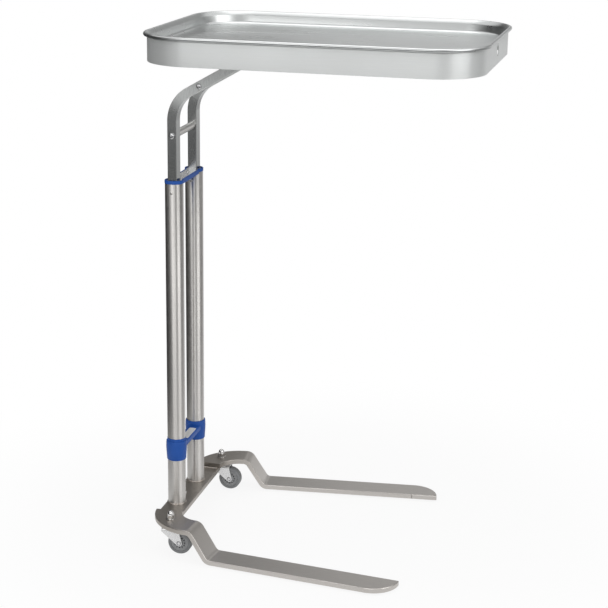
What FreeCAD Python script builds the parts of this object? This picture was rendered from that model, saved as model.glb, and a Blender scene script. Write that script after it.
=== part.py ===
"""Double-post instrument stand with a lift-out tray, foot release and two casters.

Millimetres, +Z up, legs pointing along +X.  The origin lies on the floor under
the middle of the tray.  The far side is +Y and the near side is -Y.
"""
import FreeCAD, Part
import math
import os
from types import SimpleNamespace

import Sketcher
from FreeCAD import Placement, Rotation, Vector
from Sketcher import Constraint

doc = FreeCAD.newDocument("InstrumentStand")

SIZES = {
    "rim_length": 564.0,
    "rim_width": 424.0,
    "rim_corner": 90.0,
    "rim_top": 904.0,
    "rim_bead_radius": 3.2,
    "rim_behind_posts": 23.0,
    "tray_sheet": 1.2,
    "tray_depth": 22.0,
    "tray_floor_edge": 17.6,
    "tray_floor_radius": 6.0,
    "tray_floor_lap": 2.0,
    "tray_wall_slope": 13.0,
    "tray_wall_top": 7.0,
    "band_top_drop": 7.1,
    "band_height": 39.9,
    "band_sheet": 1.5,
    "band_inset": 6.0,
    "finger_hole_radius": 11.0,
    "finger_hole_drop": 23.0,
    "strap_width": 25.0,
    "strap_sheet": 3.0,
    "strap_gap": 0.3,
    "strap_rear_clear": 4.3,
    "strap_front_inset": 71.0,
    "screw_radius": 2.5,
    "screw_depth": 12.0,
    "countersink_radius": 5.0,
    "screw_land": 0.5,
    "post_spacing": 110.7,
    "tube_diameter": 31.75,
    "tube_wall": 1.5,
    "tube_drop": 107.5,
    "weld_leg": 3.5,
    "crossbar_thick": 8.0,
    "crossbar_back": 17.0,
    "crossbar_width": 43.0,
    "crossbar_reach": 128.0,
    "leg_width": 48.0,
    "leg_thick": 9.0,
    "leg_cut_length": 2.0,
    "leg_turn_x": 67.0,
    "leg_turn_y": 110.5,
    "leg_turn_radius": 61.0,
    "leg_splay": 6.2,
    "leg_length": 374.5,
    "leg_step_at": 2.5,
    "leg_step_angle": 57.0,
    "leg_bend_radius": 13.0,
    "leg_front_under": 4.0,
    "glide_radius": 11.0,
    "glide_edge": 2.0,
    "glide_peg_radius": 3.0,
    "glide_peg": 5.0,
    "glide_rear_along": 80.0,
    "glide_front_along": 330.0,
    "stud_x": 2.0,
    "stud_y": 15.0,
    "stud_radius": 3.4,
    "stud_height": 3.6,
    "stem_x": 20.6,
    "stem_y": 152.6,
    "stem_radius": 4.0,
    "stem_head_radius": 5.5,
    "stem_head": 2.4,
    "stem_above_plate": 11.0,
    "caster_trail": 18.0,
    "wheel_radius": 21.0,
    "wheel_width": 16.0,
    "tyre_thick": 5.5,
    "tyre_edge": 2.4,
    "hub_disc_width": 13.6,
    "hub_boss_radius": 6.0,
    "hub_boss_width": 17.2,
    "hub_hole_radius": 1.0,
    "hub_hole_ring": 9.4,
    "hub_holes": 12.0,
    "axle_radius": 3.2,
    "axle_fit": 0.08,
    "axle_head_radius": 4.4,
    "axle_head": 1.2,
    "fork_sheet": 1.8,
    "fork_gap": 1.0,
    "fork_crown_clear": 2.7,
    "fork_side_depth": 6.0,
    "fork_back": 14.0,
    "fork_front": 13.5,
    "fork_end_radius": 5.4,
    "fork_back_angle": 37.0,
    "fork_front_angle": 12.0,
    "race_radius": 12.6,
    "race_inner": 7.4,
    "race_thick": 1.6,
    "race_step": 1.0,
    "ball_ring": 9.8,
    "ball_radius": 1.55,
    "balls": 8.0,
    "nut_flats": 12.4,
    "nut_height": 6.5,
    "nut_dome_radius": 5.7,
    "nut_dome": 7.2,
    "washer_radius": 8.0,
    "washer_thick": 1.6,
    "collar_radius": 16.4,
    "collar_height": 6.0,
    "collar_bridge_half": 12.5,
    "collar_bridge_under": 3.5,
    "collar_bridge_top": 5.0,
    "collar_edge": 2.0,
    "collar_floor": 2.8,
    "collar_plate_thick": 1.5,
    "collar_screw_y": 22.0,
    "collar_screw_radius": 3.5,
    "collar_screw_head": 1.2,
    "screw_bite": 5.0,
    "guide_depth": 40.0,
    "rivet_drop": 15.5,
    "rivet_radius": 2.0,
    "rivet_head_radius": 3.2,
    "rivet_head": 1.2,
    "rivet_bite": 1.0,
    "bar_x": 16.0,
    "bar_y": 22.0,
    "bar_gap": 0.35,
    "bar_foot_clear": 69.5,
    "bar_bend_drop": 159.0,
    "bar_bend_radius": 58.0,
    "bar_slope": 30.0,
    "bar_end_inset": 57.0,
    "bar_edge": 0.8,
    "rod_radius": 6.35,
    "rod_lower_drop": 25.0,
    "rod_middle_along": 22.3,
    "rod_upper_along": 95.8,
    "screw_head_radius": 4.6,
    "screw_face_radius": 3.0,
    "screw_head": 2.0,
    "slider_length": 34.0,
    "part_gap": 0.3,
    "yoke_rise": 83.0,
    "yoke_sleeve": 36.0,
    "yoke_radius": 18.5,
    "yoke_widest": 34.5,
    "yoke_low_radius": 17.1,
    "yoke_low": 3.0,
    "yoke_rim": 0.5,
    "yoke_web_under": 18.5,
    "yoke_web_top": 28.2,
    "yoke_web_back": 8.0,
    "yoke_web_front": 14.0,
    "label_back": 1.5,
    "label_width": 12.8,
    "label_length": 50.0,
    "label_thick": 0.8,
    "release_rise": 19.5,
    "release_travel": 12.0,
    "pull_rod_radius": 1.5,
    "pull_rod_x": 11.3,
    "stud_pin_radius": 2.0,
    "eye_half_y": 3.5,
    "eye_half_z": 5.5,
    "eye_inner_x": 9.3,
    "eye_outer_x": 13.6,
    "shoe_drop": 22.5,
    "shoe_length": 31.0,
    "shoe_inner_x": 8.3,
    "shoe_outer_x": 13.9,
    "shoe_taper": 3.0,
    "shoe_half_y": 5.0,
    "shoe_play": 1.0,
    "wedge_above_shoe": 6.0,
    "wedge_gap": 0.4,
    "spring_room": 59.0,
    "seat_height": 8.0,
    "seat_half_y": 5.0,
    "spring_wire_radius": 0.5,
    "spring_radius": 2.3,
    "spring_turns": 7.0,
}


class Size:
    """A number together with the expression that ties it to the sheet."""

    def __init__(self, value, text=None):
        self.value = float(value)
        self.text = text if text is not None else repr(float(value))

    def joined(self, other, sign, value):
        return Size(value, "(%s %s %s)" % (self.text, sign, other.text))

    def __add__(self, other):
        other = as_size(other)
        return self.joined(other, "+", self.value + other.value)

    def __sub__(self, other):
        other = as_size(other)
        return self.joined(other, "-", self.value - other.value)

    def __mul__(self, other):
        other = as_size(other)
        return self.joined(other, "*", self.value * other.value)

    def __truediv__(self, other):
        other = as_size(other)
        return self.joined(other, "/", self.value / other.value)

    def __radd__(self, other):
        return as_size(other) + self

    def __rsub__(self, other):
        return as_size(other) - self

    def __rmul__(self, other):
        return as_size(other) * self

    def __neg__(self):
        return Size(-self.value, "(0 - %s)" % self.text)


def as_size(item):
    return item if isinstance(item, Size) else Size(item)


def sine(angle):
    angle = as_size(angle)
    return Size(math.sin(math.radians(angle.value)), "sin(%s)" % angle.text)


def cosine(angle):
    angle = as_size(angle)
    return Size(math.cos(math.radians(angle.value)), "cos(%s)" % angle.text)


def tangent(angle):
    return sine(angle) / cosine(angle)


def root(number):
    return Size(math.sqrt(number.value), "sqrt(%s)" % number.text)


def write_sheet():
    """Put every driving size in the sheet and hand back the bound values."""
    sheet = doc.addObject("Spreadsheet::Sheet", "Sizes")
    bound = {}
    for row, (name, value) in enumerate(SIZES.items(), start=1):
        sheet.set("A%d" % row, name)
        sheet.set("B%d" % row, repr(value))
        sheet.setAlias("B%d" % row, name)
        bound[name] = Size(value, "Sizes." + name)
    doc.recompute()
    return SimpleNamespace(**bound)


d = write_sheet()
PARTS = []


def bind(item, place, size):
    item.setExpression(place, as_size(size).text)


def move(item, x=0, y=0, z=0):
    """Place an object at sizes of the sheet."""
    for axis, size in zip("xyz", (x, y, z)):
        bind(item, "Placement.Base." + axis, size)
    return item


def piece(label, item):
    """Keep an object as a sub-part of the stand."""
    item.Label = label
    PARTS.append((label, item))
    return item


def block(name, low, high):
    """A box between two opposite corners."""
    item = doc.addObject("Part::Box", name)
    for side, a, b in zip(("Length", "Width", "Height"), low, high):
        bind(item, side, as_size(b) - a)
    return move(item, *low)


AXES = {
    "x": Rotation(Vector(0, 1, 0), 90),
    "y": Rotation(Vector(1, 0, 0), -90),
    "z": Rotation(),
}


def rod(name, radius, length, foot, axis="z"):
    """A round bar that starts at foot and runs along an axis."""
    item = doc.addObject("Part::Cylinder", name)
    bind(item, "Radius", radius)
    bind(item, "Height", length)
    item.Placement = Placement(Vector(), AXES[axis])
    return move(item, *foot)


def cone(name, low_radius, high_radius, length, foot, axis="z"):
    item = doc.addObject("Part::Cone", name)
    bind(item, "Radius1", low_radius)
    bind(item, "Radius2", high_radius)
    bind(item, "Height", length)
    item.Placement = Placement(Vector(), AXES[axis])
    return move(item, *foot)


def cut(name, base, *tools):
    for number, tool in enumerate(tools):
        item = doc.addObject("Part::Cut", "%s%d" % (name, number))
        item.Base = base
        item.Tool = tool
        base = item
    return base


def fuse(name, *items):
    item = doc.addObject("Part::MultiFuse", name)
    item.Shapes = list(items)
    return item


def common(name, base, tool):
    item = doc.addObject("Part::Common", name)
    item.Base = base
    item.Tool = tool
    return item


def group(name, *items):
    """Separate solids that share one node."""
    item = doc.addObject("Part::Compound", name)
    item.Links = list(items)
    return item


def arc_edge(start, end, radius, turn):
    """A sketch arc from start to end; turn is +1 anticlockwise, -1 clockwise."""
    chord = end - start
    half = chord.Length / 2
    rise = math.sqrt(max(radius * radius - half * half, 0.0))
    normal = Vector(-chord.y, chord.x, 0).normalize()
    centre = start + chord * 0.5 + normal * (rise * turn)
    first, last = (start, end) if turn > 0 else (end, start)
    a = math.atan2(first.y - centre.y, first.x - centre.x)
    b = math.atan2(last.y - centre.y, last.x - centre.x)
    if b <= a:
        b += 2 * math.pi
    return Part.ArcOfCircle(Part.Circle(centre, Vector(0, 0, 1), radius), a, b)


def draw(sketch, corners, arcs=None):
    """A closed outline whose corners, and the radii of its arcs, are bound sizes.

    arcs maps the number of a side to its radius and turn; other sides are straight.
    """
    arcs = arcs or {}
    corners = [(as_size(x), as_size(y)) for x, y in corners]
    points = [Vector(x.value, y.value, 0) for x, y in corners]
    ends = []
    for side, start in enumerate(points):
        end = points[(side + 1) % len(points)]
        if side in arcs:
            radius, turn = arcs[side]
            edge = sketch.addGeometry(arc_edge(start, end, as_size(radius).value, turn))
            ends.append((edge, 1, 2) if turn > 0 else (edge, 2, 1))
        else:
            edge = sketch.addGeometry(Part.LineSegment(start, end))
            ends.append((edge, 1, 2))
    for side, (edge, first, last) in enumerate(ends):
        following = ends[(side + 1) % len(ends)]
        sketch.addConstraint(Constraint("Coincident", edge, last, following[0], following[1]))
        x, y = corners[side]
        for kind, size in (("DistanceX", x), ("DistanceY", y)):
            number = sketch.addConstraint(Constraint(kind, -1, 1, edge, first, size.value))
            sketch.setExpression("Constraints[%d]" % number, size.text)
        if side in arcs:
            size = as_size(arcs[side][0])
            number = sketch.addConstraint(Constraint("Radius", edge, size.value))
            sketch.setExpression("Constraints[%d]" % number, size.text)


def new_body(name):
    return doc.addObject("PartDesign::Body", name)


def sketch_on(body, plane, name, offset=None):
    """A sketch on one of the body's own origin planes, lifted by offset."""
    sketch = body.newObject("Sketcher::SketchObject", name)
    support = [f for f in body.Origin.OriginFeatures if f.Role == plane][0]
    sketch.AttachmentSupport = [(support, "")]
    sketch.MapMode = "FlatFace"
    if offset is not None:
        bind(sketch, "AttachmentOffset.Base.z", offset)
    return sketch


def pad(body, sketch, length, both_ways=False, reverse=False):
    feature = body.newObject("PartDesign::Pad", sketch.Name + "Pad")
    feature.Profile = sketch
    bind(feature, "Length", length)
    feature.SideType = "Symmetric" if both_ways else "One side"
    feature.Reversed = reverse
    return feature


def pocket(body, sketch, length, both_ways=False, reverse=False):
    feature = body.newObject("PartDesign::Pocket", sketch.Name + "Pocket")
    feature.Profile = sketch
    bind(feature, "Length", length)
    feature.SideType = "Symmetric" if both_ways else "One side"
    feature.Reversed = reverse
    return feature


def turned(name, corners, arcs=None):
    """A body of revolution; corners are (radius, height) round the Z axis."""
    body = new_body(name)
    sketch = sketch_on(body, "XZ_Plane", name + "Half")
    draw(sketch, corners, arcs)
    feature = body.newObject("PartDesign::Revolution", name + "Turn")
    feature.Profile = sketch
    feature.ReferenceAxis = (sketch, ["V_Axis"])
    feature.Angle = 360
    return body


def named_edges(shape, test):
    """Names of the edges whose two ends both pass the test."""
    names = []
    for number, edge in enumerate(shape.Edges, start=1):
        if all(test(vertex.Point) for vertex in edge.Vertexes):
            names.append("Edge%d" % number)
    return names


def chamfer(body, base, test, size):
    doc.recompute()
    feature = body.newObject("PartDesign::Chamfer", base.Name + "Edge")
    feature.Base = (base, named_edges(base.Shape, test))
    bind(feature, "Size", size)
    return feature


def rounded_rectangle(half_x, half_y, radius):
    """Corners and arcs of a rounded rectangle that starts in the middle of its +X side."""
    half_x, half_y, radius = as_size(half_x), as_size(half_y), as_size(radius)
    inner_x = half_x - radius
    inner_y = half_y - radius
    corners = [
        (half_x, 0),
        (half_x, inner_y),
        (inner_x, half_y),
        (-inner_x, half_y),
        (-half_x, inner_y),
        (-half_x, -inner_y),
        (-inner_x, -half_y),
        (inner_x, -half_y),
        (half_x, -inner_y),
    ]
    return corners, {side: (radius, 1) for side in (1, 3, 5, 7)}


SIDES = (("near", -1), ("far", 1))
OVERRUN = Size(1)
MATCH = 0.01
TUBE_RADIUS = d.tube_diameter / 2
BORE_RADIUS = TUBE_RADIUS - d.tube_wall
POST_X = d.rim_behind_posts - d.rim_length / 2
POST_Y = d.post_spacing / 2
CROWN_LOW = d.wheel_radius * 2 + d.fork_crown_clear
CROWN_TOP = CROWN_LOW + d.fork_sheet
CROSSBAR_TOP = CROWN_TOP + d.race_step + d.ball_radius * 2 + d.part_gap + d.race_thick
PLATE_TOP = CROSSBAR_TOP + d.leg_thick
YOKE_FOOT = CROSSBAR_TOP + d.yoke_rise
RELEASE_Z = YOKE_FOOT + d.release_rise
BAR_FOOT = CROSSBAR_TOP + d.bar_foot_clear
BEND_Z = d.rim_top - d.bar_bend_drop
TUBE_TOP = BEND_Z - d.tube_drop
RIVET_Z = TUBE_TOP - d.rivet_drop
GUIDE_FOOT = TUBE_TOP - d.guide_depth
SHOE_FOOT = GUIDE_FOOT - d.shoe_drop
SHOE_TOP = SHOE_FOOT + d.shoe_length
WEDGE_TOP = SHOE_TOP + d.wedge_above_shoe
SEAT_TOP = SHOE_FOOT - d.spring_room
SEAT_FOOT = SEAT_TOP - d.seat_height
STEM_X = POST_X + d.stem_x
BAR_HALF_X = d.bar_x / 2
BAR_HALF_Y = d.bar_y / 2


def make_crossbar():
    back = POST_X - d.crossbar_back
    bar = block(
        "CrossbarFlat",
        (back, -d.crossbar_reach, CROSSBAR_TOP - d.crossbar_thick),
        (back + d.crossbar_width, d.crossbar_reach, CROSSBAR_TOP),
    )
    under = CROSSBAR_TOP - d.crossbar_thick
    hole = rod("StudHole", d.screw_radius, d.crossbar_thick, (POST_X + d.stud_x, -d.stud_y, under))
    piece("base_crossbar", cut("Crossbar", bar, hole))


def dome(name, radius, height, base_z, shank_radius, shank):
    """A round head on a shank, both about the Z axis."""
    curve = (radius * radius + height * height) / (height * 2)
    corners = [
        (0, base_z - shank),
        (shank_radius, base_z - shank),
        (shank_radius, base_z),
        (radius, base_z),
        (0, base_z + height),
    ]
    return turned(name, corners, {3: (curve, 1)})


def make_stud():
    stud = dome(
        "CentreStud",
        d.stud_radius,
        d.stud_height,
        CROSSBAR_TOP,
        d.screw_radius,
        d.crossbar_thick,
    )
    piece("centre_stud", move(stud, POST_X + d.stud_x, -d.stud_y))


def leg_point(along, side):
    """Where a distance along a leg's centreline falls on the floor plan."""
    s = sine(d.leg_splay)
    c = cosine(d.leg_splay)
    x = POST_X + d.leg_turn_x + along * c - d.leg_turn_radius * s
    y = (d.leg_turn_y + along * s + d.leg_turn_radius * c) * side
    return x, y


def leg_profile():
    """The strip's side view: flat plate, step down, flat runner."""
    half = d.leg_thick / 2
    inner = d.leg_bend_radius - half
    outer = d.leg_bend_radius + half
    s = sine(d.leg_step_angle)
    c = cosine(d.leg_step_angle)
    runner_top = d.leg_front_under + d.leg_thick
    drop = CROSSBAR_TOP - d.leg_front_under
    first = d.leg_step_at
    second = first + d.leg_bend_radius * 2 * s + (drop - d.leg_bend_radius * 2 * (1 - c)) * c / s
    upper = CROSSBAR_TOP - inner
    lower = runner_top + inner
    back = -d.leg_turn_radius * 3
    front = d.leg_length + d.leg_width
    corners = [
        (back, CROSSBAR_TOP),
        (first, CROSSBAR_TOP),
        (first + inner * s, upper + inner * c),
        (second - outer * s, lower - outer * c),
        (second, d.leg_front_under),
        (front, d.leg_front_under),
        (front, runner_top),
        (second, runner_top),
        (second - inner * s, lower - inner * c),
        (first + outer * s, upper + outer * c),
        (first, PLATE_TOP),
        (back, PLATE_TOP),
    ]
    return corners, {1: (inner, -1), 3: (outer, 1), 7: (inner, -1), 9: (outer, 1)}


def leg_plan(side):
    """The strip's outline from above, about the centre of its edgewise bend."""
    half = d.leg_width / 2
    inner = d.leg_turn_radius - half
    outer = d.leg_turn_radius + half
    s = sine(d.leg_splay)
    c = cosine(d.leg_splay)
    run = d.leg_cut_length
    corners = [
        (-inner * c - run * s, inner * s - run * c),
        (-inner * c, inner * s),
        (0, inner),
        (d.leg_length, inner),
        (d.leg_length - d.leg_width, outer),
        (0, outer),
        (-outer * c, outer * s),
        (-outer * c - run * s, outer * s - run * c),
    ]
    arcs = {1: (inner, -side), 3: (d.leg_width, side), 5: (outer, side)}
    return [(x, y * side) for x, y in corners], arcs


def make_leg(name, side):
    body = new_body(name + "LegStrip")
    across = d.leg_turn_radius * 4
    profile = sketch_on(body, "XZ_Plane", name + "LegProfile")
    draw(profile, *leg_profile())
    pad(body, profile, across, both_ways=True)
    plan = sketch_on(body, "XY_Plane", name + "LegPlan")
    back = -d.leg_turn_radius * 3 - OVERRUN
    front = d.leg_length + d.leg_width + OVERRUN
    draw(plan, [(back, -across), (front, -across), (front, across), (back, across)])
    draw(plan, *leg_plan(side))
    pocket(body, plan, across, both_ways=True)
    body.Placement = Placement(Vector(), Rotation(Vector(0, 0, side), d.leg_splay.value))
    bind(body, "Placement.Rotation.Angle", d.leg_splay)
    move(body, POST_X + d.leg_turn_x, d.leg_turn_y * side)
    holes = [
        rod(
            name + "StemHole",
            d.stem_radius,
            d.leg_thick,
            (STEM_X, d.stem_y * side, CROSSBAR_TOP),
        )
    ]
    for place, along in (("Rear", d.glide_rear_along), ("Front", d.glide_front_along)):
        x, y = leg_point(along, side)
        hole = rod(name + place + "PegHole", d.glide_peg_radius, d.glide_peg, (x, y, d.leg_front_under))
        holes.append(hole)
    piece(name + "_leg", cut(name + "LegCut", body, *holes))


def make_glides(name, side):
    buttons = []
    for place, along in (("Rear", d.glide_rear_along), ("Front", d.glide_front_along)):
        corners = [
            (0, 0),
            (d.glide_radius - d.glide_edge, 0),
            (d.glide_radius, d.glide_edge),
            (d.glide_radius, d.leg_front_under),
            (d.glide_peg_radius, d.leg_front_under),
            (d.glide_peg_radius, d.leg_front_under + d.glide_peg),
            (0, d.leg_front_under + d.glide_peg),
        ]
        button = turned(name + place + "Glide", corners, {1: (d.glide_edge, 1)})
        move(button, *leg_point(along, side))
        buttons.append(button)
    piece(name + "_leg_glides", group(name + "Glides", *buttons))


def make_post(name, side):
    y = POST_Y * side
    length = TUBE_TOP - CROSSBAR_TOP
    outside = rod(name + "TubeOutside", TUBE_RADIUS, length, (POST_X, y, CROSSBAR_TOP))
    inside = rod(name + "TubeInside", BORE_RADIUS, length, (POST_X, y, CROSSBAR_TOP))
    slot = block(
        name + "TubeSlot",
        (
            POST_X - TUBE_RADIUS - OVERRUN,
            y - d.stud_pin_radius - d.part_gap,
            RELEASE_Z - d.release_travel - d.stud_pin_radius - d.part_gap,
        ),
        (
            POST_X - TUBE_RADIUS + d.tube_wall * 3,
            y + d.stud_pin_radius + d.part_gap,
            RELEASE_Z + d.stud_pin_radius + d.part_gap,
        ),
    )
    rivet_hole = rod(
        name + "TubeRivetHole",
        d.rivet_radius,
        d.tube_wall + OVERRUN * 2,
        (POST_X, y - TUBE_RADIUS - OVERRUN, RIVET_Z),
        "y",
    )
    piece(name + "_post", cut(name + "Tube", outside, inside, slot, rivet_hole))


def make_rivets():
    """Rivets that hold the bar guides in the tubes."""
    rivets = []
    for name, side in SIDES:
        y = POST_Y * side - TUBE_RADIUS
        head = cone(
            name + "RivetHead",
            d.rivet_radius,
            d.rivet_head_radius,
            d.rivet_head + d.part_gap,
            (POST_X, y - d.rivet_head, RIVET_Z),
            "y",
        )
        wall = rod(
            name + "RivetSeat",
            TUBE_RADIUS,
            d.rivet_head_radius * 2,
            (POST_X, POST_Y * side, RIVET_Z - d.rivet_head_radius),
        )
        length = d.tube_wall + d.rivet_bite
        shank = rod(name + "RivetShank", d.rivet_radius, length, (POST_X, y, RIVET_Z), "y")
        rivets.append(fuse(name + "Rivet", cut(name + "RivetCap", head, wall), shank))
    piece("guide_rivets", group("Rivets", *rivets))


def make_welds():
    """Weld beads round the feet of the tubes and along the cut ends of the legs."""
    beads = []
    z = CROSSBAR_TOP
    for name, side in SIDES:
        y = POST_Y * side
        ring = cone(name + "Bead", TUBE_RADIUS + d.weld_leg, TUBE_RADIUS, d.weld_leg, (POST_X, y, z))
        tube = rod(name + "BeadTube", TUBE_RADIUS, d.weld_leg, (POST_X, y, z))
        beads.append(cut(name + "BeadRing", ring, tube))
        cut_y = (d.leg_turn_y - d.leg_cut_length) * side
        back = POST_X + d.leg_turn_x - d.leg_turn_radius - d.leg_width / 2
        front = POST_X - d.crossbar_back + d.crossbar_width
        line = rod(name + "LegBead", d.weld_leg, front - back, (back, cut_y, z), "x")
        low_y = cut_y - d.weld_leg if side > 0 else cut_y
        keep = block(name + "LegBeadSide", (back, low_y, z), (front, low_y + d.weld_leg, z + d.weld_leg))
        beads.append(common(name + "LegBeadQuarter", line, keep))
    piece("weld_beads", group("Beads", *beads))


def dog_bone(name, radius, half_x, low, high, bridge_low=None, bridge_high=None):
    """Two discs over the posts joined by a bridge."""
    shapes = []
    for side_name, side in SIDES:
        disc = rod(name + side_name + "Disc", radius, high - low, (POST_X, POST_Y * side, low))
        shapes.append(disc)
    bridge = block(
        name + "Bridge",
        (POST_X - half_x, -POST_Y, low if bridge_low is None else bridge_low),
        (POST_X + half_x, POST_Y, high if bridge_high is None else bridge_high),
    )
    return fuse(name + "Bone", *shapes, bridge)


def bar_opening(name, side, low, high):
    """The clearance that a lifting bar slides in."""
    y = POST_Y * side
    return block(
        name,
        (POST_X - BAR_HALF_X - d.bar_gap, y - BAR_HALF_Y - d.bar_gap, low),
        (POST_X + BAR_HALF_X + d.bar_gap, y + BAR_HALF_Y + d.bar_gap, high),
    )


def make_collar():
    low = TUBE_TOP
    top = low + d.collar_height
    floor = low + d.collar_floor
    under = low - d.collar_bridge_under
    outside = dog_bone(
        "Collar",
        d.collar_radius,
        d.collar_bridge_half,
        low,
        top,
        under,
        low + d.collar_bridge_top,
    )
    recess = dog_bone(
        "Recess",
        d.collar_radius - d.collar_edge,
        d.collar_bridge_half - d.collar_edge,
        floor,
        top + OVERRUN,
    )
    plate = dog_bone(
        "CapPlate",
        d.collar_radius - d.collar_edge,
        d.collar_bridge_half - d.collar_edge,
        floor,
        floor + d.collar_plate_thick,
    )
    openings = []
    tubes = []
    screws = []
    for name, side in SIDES:
        openings.append(bar_opening(name + "CollarOpening", side, under - OVERRUN, top + OVERRUN))
        depth = low - under + OVERRUN
        tubes.append(rod(name + "CollarTube", TUBE_RADIUS, depth, (POST_X, POST_Y * side, under - OVERRUN)))
        head_z = floor + d.collar_plate_thick
        screw = dome(
            name + "CollarScrew",
            d.collar_screw_radius,
            d.collar_screw_head,
            head_z,
            d.screw_radius,
            d.screw_bite,
        )
        screws.append(move(screw, POST_X, d.collar_screw_y * side))
    piece("post_collar", cut("CollarCut", outside, recess, *openings, *tubes, *screws))
    piece("collar_plate", cut("CapPlateCut", plate, *openings, *screws))
    piece("collar_screws", group("CollarScrews", *screws))


def wedge_x(z):
    """Outer face of the brake shoe at a height, before its running gap."""
    return d.shoe_outer_x - (z - SHOE_FOOT) * d.shoe_taper / d.shoe_length


def make_guide(name, side):
    """Insert in the mouth of a tube: guides the bar and holds the shoe's taper."""
    y = POST_Y * side
    low = GUIDE_FOOT
    plug = rod(name + "GuidePlug", BORE_RADIUS, d.guide_depth, (POST_X, y, low))
    opening = bar_opening(name + "GuideOpening", side, low - OVERRUN, TUBE_TOP + OVERRUN)
    body = new_body(name + "GuideWedge")
    outline = sketch_on(body, "XZ_Plane", name + "GuideWedgeSide")
    corners = [
        (-wedge_x(low) - d.wedge_gap, low - OVERRUN),
        (-BAR_HALF_X, low - OVERRUN),
        (-BAR_HALF_X, WEDGE_TOP),
        (-wedge_x(WEDGE_TOP) - d.wedge_gap, WEDGE_TOP),
    ]
    draw(outline, corners)
    pad(body, outline, d.shoe_half_y * 2 + d.shoe_play, both_ways=True)
    move(body, POST_X, y)
    rivet = rod(
        name + "GuideRivet",
        d.rivet_radius,
        d.tube_wall + d.rivet_bite,
        (POST_X, y - TUBE_RADIUS, RIVET_Z),
        "y",
    )
    piece(name + "_bar_guide", cut(name + "Guide", plug, opening, body, rivet))


def make_spring_seat(name, side):
    y = POST_Y * side
    top = SEAT_TOP
    seat = block(
        name + "SeatBlock",
        (POST_X - BORE_RADIUS, y - d.seat_half_y, SEAT_FOOT),
        (POST_X - BAR_HALF_X - d.bar_gap, y + d.seat_half_y, top),
    )
    bore = rod(name + "SeatBore", BORE_RADIUS, d.seat_height, (POST_X, y, SEAT_FOOT))
    hole = rod(
        name + "SeatHole",
        d.pull_rod_radius + d.part_gap,
        d.seat_height,
        (POST_X - d.pull_rod_x, y, SEAT_FOOT),
    )
    piece(name + "_spring_seat", cut(name + "Seat", common(name + "SeatShape", seat, bore), hole))


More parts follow.
